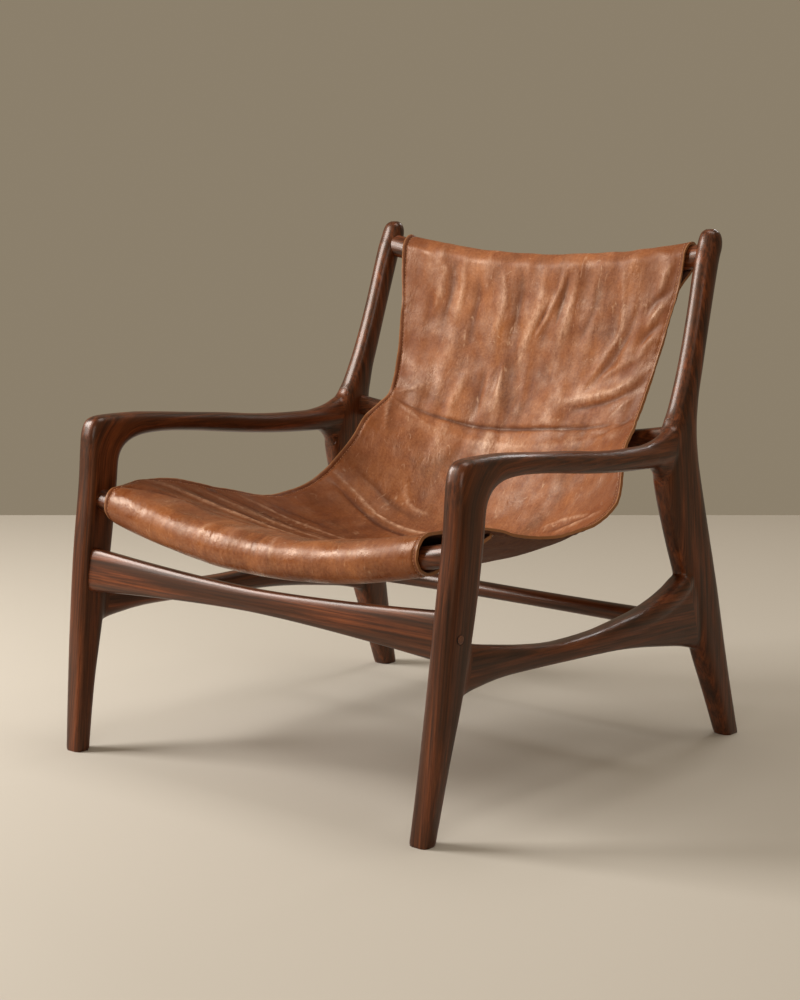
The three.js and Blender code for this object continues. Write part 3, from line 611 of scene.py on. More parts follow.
# Rows from the front pocket to the top one, in shares of the way from bar to bar: the edge's
# reach and height, the middle's reach and height, and how far the width has grown past the waist
SHEET_ROWS = [
    (0.063, 0.064, 0.066, -0.049, 1),
    (0.115, 0.054, 0.122, -0.085, 0.978),
    (0.173, 0.041, 0.181, -0.119, 0.891),
    (0.239, 0.013, 0.254, -0.16, 0.804),
    (0.313, -0.015, 0.335, -0.204, 0.717),
    (0.394, -0.044, 0.423, -0.242, 0.652),
    (0.474, -0.062, 0.504, -0.268, 0.652),
    (0.548, -0.062, 0.577, -0.281, 0.696),
    (0.621, -0.041, 0.65, -0.273, 0.761),
    (0.68, 0, 0.712, -0.237, 0.761),
    (0.727, 0.059, 0.76, -0.173, 0.674),
    (0.768, 0.149, 0.804, -0.077, 0.435),
    (0.797, 0.235, 0.841, 0.034, 0.261),
    (0.844, 0.291, 0.87, 0.137, 0.13),
    (0.875, 0.338, 0.894, 0.227, 0),
    (0.9, 0.433, 0.912, 0.343, 0.062),
    (0.925, 0.562, 0.934, 0.492, 0.281),
    (0.941, 0.683, 0.947, 0.626, 0.531),
    (0.953, 0.794, 0.957, 0.735, 0.75),
    (0.961, 0.889, 0.966, 0.825, 0.938),
]
WAIST_ROW = 14
ROW_STEPS = 12
# Columns across the sheet, as shares of its half width: close together along the side edges, by
# their distance from them, and even between
EDGE_COLUMNS = (0, 0.0016, 0.0032, 0.0046, 0.0058, 0.0066, 0.0074, 0.0082, 0.0094, 0.0112)
INNER_COLUMNS, INNER_REACH = 125, 0.953
near_edge = 1 - np.array(EDGE_COLUMNS) / (TOP_WIDTH / 2)
side = np.concatenate([-near_edge, np.linspace(-INNER_REACH, INNER_REACH, INNER_COLUMNS), near_edge[::-1]])
COLUMNS = len(side)
flare = np.clip(-side, 0, 1) ** 2


def sheet_line(row, values):
    """The sheet's upper face at one row, over the columns."""
    edge_y, edge_z, mid_y, mid_z, grown = values
    full = FRONT_WIDTH if row < WAIST_ROW else TOP_WIDTH
    spread = flare * min(max(1 - row / 6, 0), 1)
    aside = TOP_SHIFT * min(max((row - WAIST_ROW) / (len(SHEET_ROWS) - 1 - WAIST_ROW), 0), 1)
    x = side * (WAIST_WIDTH + (full - WAIST_WIDTH) * grown) / 2 + aside - CORNER_ASIDE * spread
    y = FRONT_BAR_Y + (TOP_BAR_Y - FRONT_BAR_Y) * (mid_y + (edge_y - mid_y) * side ** 2)
    z = FRONT_BAR_Z + (TOP_BAR_Z - FRONT_BAR_Z) * (mid_z + (edge_z - mid_z) * side ** 2)
    return np.stack([x, y, z + CORNER_RISE * spread], 1)


fine_rows = smoothed(SHEET_ROWS, ROW_STEPS)
row_of = np.arange(len(fine_rows)) / ROW_STEPS
upper = np.array([sheet_line(row, values) for row, values in zip(row_of, fine_rows)])


def normals_of(grid):
    """Unit normals of a grid of points, on the side of the sitter and away from the bars."""
    out = np.cross(np.gradient(grid, axis=1), np.gradient(grid, axis=0))
    return out / np.linalg.norm(out, axis=2, keepdims=True)


def pocket(x, centre, size, lean, degrees):
    """Lines round a pocket, one for each angle."""
    lines = []
    for angle in np.radians(degrees):
        v, w = size[0] * math.cos(angle), size[1] * math.sin(angle)
        lines.append(np.stack([
            x,
            centre[0] + v * math.cos(lean) + w * math.sin(lean),
            centre[1] - v * math.sin(lean) + w * math.cos(lean),
        ], 1))
    return lines


front_x = side * FRONT_WIDTH / 2 - CORNER_ASIDE * flare
front_centre = (
    FRONT_BAR_Y + POCKET_CENTRE_FRONT[0] + 0 * side,
    FRONT_BAR_Z - FRONT_BAR_DROOP * bow(front_x / FRONT_BAR_SPAN)
    + POCKET_CENTRE_FRONT[1] + (POCKET_CENTRE_FRONT[2] - POCKET_CENTRE_FRONT[1]) * side ** 2,
)
front_roll = pocket(front_x, front_centre, (POCKET_RADIUS_FRONT,) * 2, 0, np.linspace(*FRONT_TURN))
top_x = side * TOP_WIDTH / 2 + TOP_SHIFT
top_centre = (TOP_BAR_Y + 0 * side, TOP_BAR_Z - TOP_BAR_DROOP * bow(top_x / TOP_BAR_SPAN))
top_size = [size / 2 + POCKET_EASE_TOP for size in TOP_BAR_SIZE]
top_roll = pocket(top_x, top_centre, top_size, TOP_BAR_LEAN, np.linspace(*TOP_TURN))
# The turned-over ends lie behind the sheet, a little narrower towards their free edges, and a
# bridge of leather runs from the front end to its roll
back_face = upper - normals_of(upper) * (2 * LEATHER + PLY_GAP)
FRONT_TAIL_ROWS = range(42, 35, -1)
TOP_TAIL_ROWS = range(len(upper) - 6, len(upper) - 14, -1)
FRONT_NARROWING, TOP_NARROWING = 0.007, 0.004
front_tail = [back_face[i] * (1 - FRONT_NARROWING * (i - FRONT_TAIL_ROWS.stop), 1, 1)
              for i in FRONT_TAIL_ROWS]
START_PULL, END_PULL = 12, 40
start, end = front_tail[-1], front_roll[0]
pull, draw = (start - front_tail[-2]) * START_PULL, (front_roll[1] - end) * END_PULL
bridge = [start * (1 + 2 * t) * (1 - t) ** 2 + pull * t * (1 - t) ** 2
          + end * t * t * (3 - 2 * t) + draw * t * t * (t - 1) for t in np.linspace(0, 1, 13)[1:-1]]
top_tail = [back_face[i] * (1 - TOP_NARROWING * (len(upper) - 2 - i), 1, 1) for i in TOP_TAIL_ROWS]
path = np.array(front_tail + bridge + front_roll + list(upper) + top_roll + top_tail)
# A row number for each line: 0 to 19 on the sheet, below 0 round the front, above 19 on top
row_value = np.concatenate([
    np.linspace(-8, -7, len(front_tail)), np.linspace(-6.9, -5.1, len(bridge)),
    np.linspace(-5, -0.1, len(front_roll)), row_of,
    np.linspace(19.1, 21.9, len(top_roll)), np.linspace(22, 23, len(top_tail)),
])
# The lines are eased into one another, for longest where the sheet comes up to the top bar
near_top = np.interp(row_value[1:-1], [16.5, 17.5, 19, 19.3], [0, 1, 1, 0])[:, None, None]
for step in range(24):
    softer = (path[:-2] + 2 * path[1:-1] + path[2:]) / 4
    path[1:-1] += (softer - path[1:-1]) * (1 if step < 4 else near_top)

# Folds and creases, each along a line of (side, row) points: how wide and how deep it is in
# millimetres, up for a ridge and down for a crease, and how far it is paled or darkened: paled by rubbing and
# by a painted highlight, darkened by painted shade
FOLDS = [
    # the crease at the sitter's waist, and the leather that swells out below it
    (3.4, -3.0, -1.0, [(-0.97, 13.8), (-0.71, 13.7), (-0.46, 13.75), (-0.22, 13.8), (0.26, 14.0),
                       (0.64, 13.9), (0.97, 13.8)]),
    (18, 3.0, 0.2, [(-0.9, 13.1), (-0.46, 13.0), (0, 13.1), (0.5, 13.2), (0.92, 13.2)]),
    (3, 1.6, 0.5, [(-0.97, 14.1), (-0.86, 14.5), (-0.74, 14.9)]),
    (3, 1.6, 0.5, [(-0.95, 13.7), (-0.82, 13.5), (-0.64, 13.1)]),
    (3.4, 2.6, 1.0, [(-0.98, 14.4), (-0.955, 13.4), (-0.9, 12.6), (-0.84, 11.9)]),
    # drapes in the back
    (7, 2.4, 0.38, [(-0.53, 19.3), (-0.53, 18.6), (-0.54, 18.0), (-0.57, 17.3)]),
    (6, 2.0, 0.3, [(-0.66, 19.2), (-0.7, 18.2), (-0.77, 17.2)]),
    (7, -2.4, -0.35, [(-0.6, 19.2), (-0.62, 18.2), (-0.66, 17.2)]),
    (8, -2.0, -0.25, [(-0.4, 19.0), (-0.42, 17.8), (-0.46, 16.4)]),
    (6, 2.4, 0.41, [(-0.24, 19.3), (-0.2, 18.4), (-0.22, 17.7), (-0.26, 16.8)]),
    (8, -2.2, -0.3, [(-0.09, 19.2), (-0.1, 18.0), (-0.14, 16.6)]),
    (13, 3.4, 0.52, [(0.06, 19.3), (0.07, 18.4), (0.02, 17.2), (-0.03, 16.5), (-0.06, 15.5)]),
    (4, -2.2, -0.6, [(0.19, 19.4), (0.14, 18.4), (0.07, 17.4), (0.02, 16.7)]),
    (5, 2.4, 0.38, [(0.25, 19.4), (0.16, 18.6), (0.12, 17.7), (0.05, 16.9)]),
    (4, -2.4, -0.6, [(0.24, 19.2), (0.21, 18.4), (0.2, 17.4)]),
    (8, 2.8, 0.41, [(0.31, 19.3), (0.28, 18.4), (0.27, 17.6), (0.25, 16.8)]),
    (9, -2.2, -0.3, [(0.46, 19.2), (0.44, 18.0), (0.4, 16.8)]),
    (6, 2.2, 0.34, [(0.6, 19.4), (0.64, 18.4), (0.67, 17.2), (0.59, 16.2), (0.47, 15.3)]),
    (7, -2.2, -0.35, [(0.75, 18.6), (0.74, 17.2), (0.66, 16.2), (0.56, 15.5)]),
    (5, 2.0, 0.38, [(0.84, 16.2), (0.7, 15.9), (0.6, 15.6)]),
    (6, 2.6, 0.49, [(-0.17, 16.0), (-0.17, 15.2), (-0.18, 14.4)]),
    (9, 2.2, 0.34, [(-0.44, 15.7), (-0.49, 14.9), (-0.52, 14.2)]),
    (7, -2.0, -0.3, [(-0.3, 15.8), (-0.31, 15.0), (-0.33, 14.3)]),
    (9, 3.6, 0.56, [(0.97, 15.8), (0.86, 15.45), (0.72, 15.2), (0.54, 15.1), (0.37, 15.0)]),
    (5, -2.6, -0.5, [(0.94, 15.3), (0.78, 14.95), (0.6, 14.8), (0.45, 14.7)]),
    (3, 1.3, 0.38, [(0.92, 15.0), (0.82, 14.5), (0.76, 14.2)]),
    (4, -1.8, -0.4, [(0.98, 14.2), (0.85, 13.6), (0.7, 13.4)]),
    (6, 3.0, 0.68, [(0.95, 19.3), (0.9, 19.0), (0.87, 18.5)]),
    (6, 3.0, 0.68, [(0.94, 18.1), (0.89, 17.7), (0.86, 17.2)]),
    (6, 2.6, 0.6, [(0.93, 16.9), (0.88, 16.6), (0.86, 16.1)]),
    (7, -2.4, -0.4, [(0.94, 18.6), (0.88, 18.3), (0.83, 17.9)]),
    (7, -2.2, -0.4, [(0.94, 17.4), (0.88, 17.0), (0.84, 16.6)]),
    (4, 1.4, 0.38, [(-0.96, 19.5), (-0.78, 19.3), (-0.6, 18.9)]),
    # folds that fan out from the front corner on the left
    (3.6, -3.4, -1.0, [(-0.99, -0.7), (-0.93, -0.2), (-0.81, 0.1), (-0.63, 0.5), (-0.41, 1.0), (-0.22, 1.5)]),
    (7, 4.6, 0.45, [(-0.98, 0.2), (-0.88, 1.2), (-0.6, 2.0), (-0.4, 2.8), (-0.2, 3.4)]),
    (6, -3.6, -0.7, [(-0.94, 1.9), (-0.76, 2.7), (-0.52, 3.5), (-0.3, 4.2)]),
    (6, 3.0, 0.4, [(-0.95, 2.7), (-0.76, 3.4), (-0.55, 4.1), (-0.36, 4.8)]),
    (6, -4.0, -0.8, [(-0.95, 3.5), (-0.84, 4.0), (-0.64, 4.6), (-0.44, 5.3)]),
    (5, 3.2, 0.6, [(-0.96, 4.3), (-0.82, 4.8), (-0.57, 5.4), (-0.4, 5.9)]),
    (8, -2.4, -0.4, [(-0.94, 5.2), (-0.78, 5.8), (-0.56, 6.4)]),
    # the bend between seat and back
    (2.8, 2.8, 1.0, [(-0.99, 9.3), (-0.81, 9.1), (-0.61, 8.7), (-0.4, 8.6), (-0.24, 8.8), (-0.08, 8.9)]),
    (3.8, -3.2, -1.0, [(-0.94, 8.9), (-0.77, 8.6), (-0.59, 8.3), (-0.42, 8.2), (-0.2, 8.4), (0.1, 8.5)]),
    (9, -2.4, -0.35, [(-0.9, 10.1), (-0.7, 9.8), (-0.55, 9.5), (-0.36, 9.4)]),
    (3.6, 2.0, 0.55, [(-0.58, 10.7), (-0.54, 10.2), (-0.45, 9.8), (-0.33, 9.8)]),
    (5, 2.4, 0.65, [(0.6, 9.1), (0.79, 9.2), (0.94, 9.15)]),
    (4, 2.0, 0.6, [(0.46, 9.6), (0.6, 9.8), (0.8, 9.5), (0.94, 9.0)]),
    (4, -2.0, -0.4, [(0.52, 9.3), (0.72, 9.45), (0.92, 9.3)]),
    (8, -2.0, -0.3, [(0.2, 8.9), (0.5, 8.8), (0.8, 8.7)]),
    # cracks and puckers over the front roll
    (2.6, -1.0, 0.5, [(-0.73, -0.6), (-0.76, -1.6), (-0.77, -2.6)]),
    (5, 1.4, 0.3, [(-0.34, -0.3), (-0.36, -1.4), (-0.38, -2.6)]),
    (4, -1.4, -0.3, [(-0.27, -0.2), (-0.28, -1.3), (-0.29, -2.4)]),
    (4, -1.2, 0.3, [(-0.2, -0.4), (-0.21, -1.4), (-0.2, -2.3)]),
    (6, 1.4, 0.3, [(0.08, -0.2), (0.09, -1.3), (0.12, -2.6)]),
    (4, -1.4, -0.3, [(0.0, -0.3), (-0.01, -1.5), (0.0, -2.6)]),
]
normal = normals_of(path)
lift = np.zeros(path.shape[:2])
wear = np.zeros(path.shape[:2])


def at_grid(u, row):
    """The point of the unfolded sheet at a share of the half width and a row."""
    i = np.interp(row, row_value, np.arange(len(row_value)))
    j = np.interp(u, side, np.arange(COLUMNS))
    i0, j0 = min(int(i), len(path) - 2), min(int(j), COLUMNS - 2)
    a, b = i - i0, j - j0
    return ((1 - a) * ((1 - b) * path[i0, j0] + b * path[i0, j0 + 1])
            + a * ((1 - b) * path[i0 + 1, j0] + b * path[i0 + 1, j0 + 1]))


for width, height, rub_and_shade_share, line in FOLDS:
    points = np.array([at_grid(u, row) for u, row in smoothed(line, 4)])
    steps = len(points) - 1
    best = np.full(path.shape[:2], np.inf)
    taper = np.zeros(path.shape[:2])
    for k in range(steps):
        a, b = points[k], points[k + 1]
        t = np.clip(((path - a) @ (b - a)) / max((b - a) @ (b - a), 1e-12), 0, 1)
        d = np.linalg.norm(path - a - t[..., None] * (b - a), axis=2)
        share = (k + t) / steps
        closer = d < best
        best = np.where(closer, d, best)
        taper = np.where(closer, np.sin(math.pi * np.clip(share, 0.02, 0.98)) ** 0.6, taper)
    profile = np.exp(-(best / (width / 1000)) ** 1.5) * taper
    lift += height / 1000 * profile
    wear += rub_and_shade_share * profile ** 1.5

# Soft unevenness of the hide, longer along the back than across it
rng = np.random.default_rng(7)
DRAPE_HEIGHT, SWELL_HEIGHT, RIPPLE_HEIGHT = 0.0008, 0.001, 0.0004


def blurred(field, blur_rows, blur_columns):
    """A field smoothed over that many rows and columns."""
    for axis, blur in ((0, blur_rows), (1, blur_columns)):
        reach = np.arange(-3 * blur, 3 * blur + 1)
        kernel = np.exp(-(reach / blur) ** 2)
        kernel /= kernel.sum()
        field = np.apply_along_axis(
            lambda line: np.convolve(np.pad(line, 3 * blur, mode="edge"), kernel, "valid"), axis, field)
    return field


def uneven(blur_rows, blur_columns):
    """Soft random bumps and hollows, with a spread of 1."""
    field = blurred(rng.standard_normal(path.shape[:2]), blur_rows, blur_columns)
    return field / field.std()


on_back = np.clip((row_value - 10) / 3, 0, 1)[:, None]
lift += (DRAPE_HEIGHT * uneven(15, 3) * on_back + SWELL_HEIGHT * uneven(10, 8)
         + RIPPLE_HEIGHT * uneven(4, 3))
# The folds fade out as the leather goes round each bar
calm = np.interp(row_value, [-8, -5, -4, 0, 19.6, 20.4, 23], [0, 0, 0.6, 1, 1, 0.4, 0])[:, None]
lift = lift * calm
# The turned-over ends lie against the sheet and follow its folds
sheet_start = len(front_tail) + len(bridge) + len(front_roll)
lift[:len(front_tail)] = -lift[[sheet_start + i for i in FRONT_TAIL_ROWS]]
lift[-len(top_tail):] = -lift[[sheet_start + i for i in TOP_TAIL_ROWS]]

# Raised leather is paled by rubbing and by a painted highlight, and the hollows are darkened with painted
# shade
RUB_AND_SHADE_HEIGHT, RUB_AND_SHADE = 0.0012, 0.35
relief = lift - blurred(lift, 9, 7)
wear += RUB_AND_SHADE * np.clip(relief / RUB_AND_SHADE_HEIGHT, -1.2, 1.2)

# The seam along each side edge sits in a shallow groove, with small tucks at a drifting pitch
half_width = np.abs(path[:, :, 0]).max(axis=1, keepdims=True)
inset = (1 - np.abs(side))[None, :] * half_width
SEAM_INSET, GROOVE_WIDTH, GROOVE_DEPTH = 0.007, 0.0018, 0.0014
TUCK_PITCH, TUCK_DRIFT, TUCK_WIDTH, TUCK_HEIGHT = 0.019, 0.06, 0.006, 0.0005
run_length = np.concatenate([[0], np.cumsum(np.linalg.norm(np.diff(path[:, COLUMNS // 2], axis=0), axis=1))])
tucks = np.sin(2 * math.pi * run_length / TUCK_PITCH + 2.0 * np.sin(run_length / TUCK_DRIFT))[:, None]
lift -= GROOVE_DEPTH * np.exp(-((inset - SEAM_INSET) / GROOVE_WIDTH) ** 2)
lift += TUCK_HEIGHT * tucks * np.exp(-((inset - SEAM_INSET) / TUCK_WIDTH) ** 2)
surface = path + normal * lift[..., None]

rows_n = len(path)
index = np.arange(rows_n * COLUMNS).reshape(rows_n, COLUMNS)
quads = np.stack([index[:-1, :-1], index[:-1, 1:], index[1:, 1:], index[1:, :-1]], -1).reshape(-1, 4)
mesh = bpy.data.meshes.new("sling_leather")
mesh.from_pydata(surface.reshape(-1, 3).tolist(), [], quads.tolist())
for name, values in (("wear", wear), ("inset", inset + 0 * lift), ("rows", row_value[:, None] + 0 * lift)):
    layer = mesh.attributes.new(name, "FLOAT", "POINT")
    layer.data.foreach_set("value", values.ravel())
# Places on the unfolded hide, in metres, which the leather's pattern follows
hide = np.stack([side * half_width, run_length[:, None] + 0 * lift, 0 * lift], -1)
mesh.attributes.new("hide", "FLOAT_VECTOR", "POINT").data.foreach_set("vector", hide.ravel())
sling = bpy.data.objects.new("sling_leather", mesh)
bpy.context.collection.objects.link(sling)
sheet_length = float(np.linalg.norm(np.diff(surface[:, COLUMNS // 2], axis=0), axis=1).sum())

# Waxed cognac leather: warm cloudy brown, paler on folds by rubbing and a painted highlight, red-brown in
# creases by painted shade
leather, tree, shader = new_material("cognac leather")
# Sizes of the hide's patterns, in metres. Its pebbled grain is drawn coarser than the real one,
# so that it shows.
CLOUD, SMEAR, FLECK = 0.09, 0.018, 0.0045
SCUFF, SCRATCH, SCRATCHED_PATCH = 0.01, 0.04, 0.012
SHEEN, WRINKLE, PEBBLE = 0.05, 0.011, 0.0016


def patches(place, size, detail=3.0, rough=0.55, long=1.0):
    """Noise with patches of about that size in metres, drawn out lengthwise."""
    tree = place.id_data
    at = add(tree, "ShaderNodeMapping", {"Vector": place, "Scale": (1 / size, 1 / size / long, 1 / size)})
    return add(tree, "ShaderNodeTexNoise", {
        "Vector": at.outputs["Vector"], "Scale": 1.0, "Detail": detail, "Roughness": rough,
    }).outputs["Fac"]


place = add(tree, "ShaderNodeAttribute", attribute_name="hide").outputs["Vector"]
rub_and_shade_value, edge, row = [add(tree, "ShaderNodeAttribute", attribute_name=name).outputs["Fac"]
                   for name in ("wear", "inset", "rows")]
cloud = add(tree, "ShaderNodeValToRGB", {"Fac": patches(place, CLOUD, 5, 0.6, 1.4)}, stops=[
    (0.3, "#50220b"), (0.48, "#7a3a18"), (0.68, "#a25b26")])
smear = add(tree, "ShaderNodeValToRGB", {"Fac": patches(place, SMEAR, 7, 0.65, 1.9)}, stops=[
    (0.34, "#6a331a"), (0.66, "#b57548")])
fleck = add(tree, "ShaderNodeValToRGB", {"Fac": patches(place, FLECK, 5, 0.7)}, stops=[
    (0.36, "#5b2c16"), (0.64, "#bd8458")])
# Hair-fine scratches run where a noise crosses its middle
crossing = add(tree, "ShaderNodeMath", {0: patches(place, SCRATCH, 1.5, 0.4, 3.4), 1: 0.5},
               operation="SUBTRACT")
crossing = add(tree, "ShaderNodeMath", {0: crossing.outputs[0]}, operation="ABSOLUTE")
# How far each effect goes: what it follows, the two ends of that, and the share at each end
effect = {}
for name, source, low, high, at_low, at_high in (
        # the seat's two ends, between which painted shade darkens the up-facing seat
        ("seat, rear end", row, 10.5, 7.5, 0, 1),
        ("seat, front end", row, -1.2, 0.4, 0, 1),
        # folds are paled by rubbing and a painted highlight; creases are darkened with painted shade
        ("fold", rub_and_shade_value, 0.1, 1.1, 0, 1),
        ("scuff", patches(place, SCUFF, 9, 0.8, 2.0), 0.42, 0.6, 0.15, 1),
        ("crease", rub_and_shade_value, -0.05, -0.95, 0, 0.8),
        ("crossing", crossing.outputs[0], 0, 0.009, 1, 0),
        ("scratched", patches(place, SCRATCHED_PATCH, 4), 0.5, 0.64, 0, 1),
        # darker towards the side edges: burnished along them, with painted shade across the wider band
        ("burnish", edge, 0.12, 0.006, 0, 0.55),
        ("seam", edge, 0.0086, 0.007, 0, 0.5),
        ("rim", edge, 0.0024, 0.001, 0, 0.85),
        ("roll", row, 2.0, -0.5, 0, 1),
        ("sheen", patches(place, SHEEN, 5), 0.38, 0.62, 0.36, 0.74)):
    effect[name] = add(tree, "ShaderNodeMapRange", {
        "Value": source, "From Min": low, "From Max": high, "To Min": at_low, "To Max": at_high,
    }).outputs["Result"]
for name, one, other in (("seat", effect["seat, rear end"], effect["seat, front end"]),
                         ("rubbed", effect["fold"], effect["scuff"]),
                         ("scratch", effect["crossing"], effect["scratched"])):
    effect[name] = add(tree, "ShaderNodeMath", {0: one, 1: other}, operation="MULTIPLY").outputs[0]
pale_scratch = add(tree, "ShaderNodeMath", {0: effect["scratch"], 1: 0.4}, operation="MULTIPLY")
# The colours, each laid over the last: the seat is darkened with painted shade, folds paled by rubbing carry
# a painted highlight, scratches are pale, creases carry painted shade, and the edges are burnished round the
# seam, with painted shade in a wider band
tone = cloud.outputs["Color"]
for kind, amount, colour in (
        ("MIX", 0.35, smear.outputs["Color"]), ("MIX", 0.22, fleck.outputs["Color"]),
        ("MULTIPLY", effect["seat"], srgb("#e4dcd5")), ("MIX", effect["rubbed"], srgb("#d6a785")),
        ("MIX", effect["crease"], srgb("#4c2110")), ("MIX", pale_scratch.outputs[0], srgb("#d8ae8a")),
        ("MIX", effect["burnish"], srgb("#6a3210")), ("MIX", effect["seam"], srgb("#5c2a12")),
        ("MIX", effect["rim"], srgb("#9c6840"))):
    tone = add(tree, "ShaderNodeMix", {0: amount, 6: tone, 7: colour}, data_type="RGBA",
               blend_type=kind).outputs[2]
tree.links.new(tone, shader.inputs["Base Color"])
# The roll over the front bar and the rubbed folds are polished
rough = effect["sheen"]
for smoother, part in ((effect["roll"], 0.2), (effect["rubbed"], 0.12)):
    taken = add(tree, "ShaderNodeMath", {0: smoother, 1: part}, operation="MULTIPLY")
    rough = add(tree, "ShaderNodeMath", {0: rough, 1: taken.outputs[0]}, operation="SUBTRACT").outputs[0]
tree.links.new(rough, shader.inputs["Roughness"])
pebble = add(tree, "ShaderNodeTexVoronoi", {"Vector": place, "Scale": 1 / PEBBLE})
bump = add(tree, "ShaderNodeBump", {
    "Height": pebble.outputs["Distance"], "Strength": 0.25, "Distance": 0.0003})
for height, strength, distance in ((patches(place, WRINKLE, 7, 0.62, 2.2), 0.75, 0.002),
                                   (effect["scratch"], 0.4, 0.0005)):
    bump = add(tree, "ShaderNodeBump", {
        "Height": height, "Strength": strength, "Distance": distance, "Normal": bump.outputs["Normal"]})
tree.links.new(bump.outputs["Normal"], shader.inputs["Normal"])
shader.inputs["IOR"].default_value = 1.45
shader.inputs["Specular Tint"].default_value = srgb("#ffdeb8")
shader.inputs["Coat Weight"].default_value = 0.06
shader.inputs["Coat Roughness"].default_value = 0.3

# The hide's flesh side: dull and napped, its dark colour painted shade under the sling
shaded_flesh, tree, shader = new_material("flesh side with painted shade")
NAP = 0.012
place = add(tree, "ShaderNodeAttribute", attribute_name="hide").outputs["Vector"]
nap_and_shade = add(tree, "ShaderNodeValToRGB", {"Fac": patches(place, NAP, 6, 0.7)}, stops=[
    (0.35, "#4e2a16"), (0.65, "#6c3f23")])
tree.links.new(nap_and_shade.outputs["Color"], shader.inputs["Base Color"])
shader.inputs["Roughness"].default_value = 0.85
sling.data.materials.append(leather)
sling.data.materials.append(shaded_flesh)
modify(sling, "SOLIDIFY", thickness=LEATHER, offset=-1, material_offset=1)
only(sling)
bpy.ops.object.shade_smooth_by_angle(angle=math.radians(60))
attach(sling, "root")
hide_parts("sling")

# Seams
# Waxed linen thread along both side edges, through both plies of the doubled hide. It is a saddle
# stitch, sewn by hand, and lies in the groove.

STITCH_LENGTH, STITCH_WIDTH, STITCH_PITCH = 0.0042, 0.0009, 0.0056
STITCH_RISE_SHARE = 0.15
SEAM_MARGIN, LOOK_AHEAD = 0.004, 0.003
bpy.ops.mesh.primitive_uv_sphere_add(segments=6, ring_count=5, radius=1)
pattern = bpy.context.object
shape = np.array([v.co[:] for v in pattern.data.vertices])
shape_faces = [tuple(p.vertices) for p in pattern.data.polygons]
bpy.data.objects.remove(pattern)
thread_verts, thread_faces = [], []
surface_normal = normals_of(surface)
for sign in (-1, 1):
    share = sign * (1 - SEAM_INSET / half_width[:, 0])
    line, out = (np.array([[np.interp(share[i], side, grid[i, :, k]) for k in range(3)]
                           for i in range(rows_n)]) for grid in (surface, surface_normal))
    run = np.concatenate([[0], np.cumsum(np.linalg.norm(np.diff(line, axis=0), axis=1))])
    for s in np.arange(SEAM_MARGIN, run[-1] - SEAM_MARGIN, STITCH_PITCH):
        at = np.array([np.interp(s, run, line[:, k]) for k in range(3)])
        ahead = np.array([np.interp(s + LOOK_AHEAD, run, line[:, k]) for k in range(3)])
        up = np.array([np.interp(s, run, out[:, k]) for k in range(3)])
        along = (ahead - at) / np.linalg.norm(ahead - at)
        up -= along * (up @ along)
        up /= np.linalg.norm(up)
        turn = np.stack([along * STITCH_LENGTH / 2, np.cross(up, along) * STITCH_WIDTH / 2,
                         up * STITCH_WIDTH / 2])
        start = len(thread_verts)
        thread_verts.extend((shape @ turn + at + up * STITCH_WIDTH * STITCH_RISE_SHARE).tolist())
        thread_faces.extend([tuple(start + v for v in face) for face in shape_faces])
mesh = bpy.data.meshes.new("edge_seams")
mesh.from_pydata(thread_verts, [], thread_faces)
seams = bpy.data.objects.new("edge_seams", mesh)
bpy.context.collection.objects.link(seams)

# Waxed thread: a dull tan, a little paler than the hide
thread, tree, shader = new_material("waxed linen thread")
shader.inputs["Base Color"].default_value = srgb("#c08a5e")
shader.inputs["Roughness"].default_value = 0.6
seams.data.materials.append(thread)
only(seams)
bpy.ops.object.shade_smooth_by_angle(angle=math.radians(60))
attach(seams, "root")

# Bolt plugs, dowels and bolts
# A turned walnut plug covers the bolt head in each front leg, glued into its counterbore and
# left a little proud. The dowels and bolts are inside.

PLUG_RADIUS, PLUG_PROUD = 0.0068, 0.0009
# Where the painted groove shadow starts, and how near the plug's middle the leg's face is measured
PLUG_FACE, FACE_CORE = 0.0066, 0.006
# Radius and height above the leg's face, from the plug's middle out over the groove
PLUG_PROFILE = [
    (0.004, PLUG_PROUD), (0.0058, PLUG_PROUD * 0.92), (0.0065, PLUG_PROUD * 0.6),
    (PLUG_RADIUS, -0.0003), (0.0073, -0.0004), (0.0078, 0.0002), (0.0078, -0.003),
]
# The plug is cut across the grain, so that it shows small dark spots and no streaks, drawn coarser
# than real pores
plug_wood, tree, shader = new_material("walnut end grain")
END_GRAIN = 0.0016
place = add(tree, "ShaderNodeTexCoord").outputs["Object"]
spots = add(tree, "ShaderNodeValToRGB", {"Fac": patches(place, END_GRAIN)}, stops=[
    (0.35, "#452414"), (0.65, "#77472c")])
tree.links.new(spots.outputs["Color"], shader.inputs["Base Color"])
shader.inputs["Roughness"].default_value = 0.4
# Painted shadow in the groove round the plug, almost black
groove_shadow, tree, shader = new_material("painted groove shadow")
shader.inputs["Base Color"].default_value = srgb("#170c07")
shader.inputs["Roughness"].default_value = 0.8
centre = np.mean(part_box("right_bolt_plug"), axis=0)
leg = points_of(bpy.data.objects["right_front_leg_shaped"])
face = leg[np.hypot(leg[:, 1] - centre[1], leg[:, 2] - centre[2]) < FACE_CORE, 0].max()
turn = np.arange(RING_SIDES) / RING_SIDES * 2 * math.pi
right_plug = from_rings("right_bolt_plug_turned", [
    np.stack([np.full(RING_SIDES, face + height), centre[1] + radius * np.cos(turn),
              centre[2] + radius * np.sin(turn)], 1) for radius, height in PLUG_PROFILE])
right_plug.data.materials.append(plug_wood)
right_plug.data.materials.append(groove_shadow)
out = np.hypot(centres(right_plug)[:, 1] - centre[1], centres(right_plug)[:, 2] - centre[2])
right_plug.data.polygons.foreach_set("material_index", (out > PLUG_FACE).astype(int))
only(right_plug)
bpy.ops.object.shade_smooth_by_angle(angle=math.radians(30))
left_plug = own_copy(right_plug, "left_bolt_plug_turned")
mirror(left_plug)
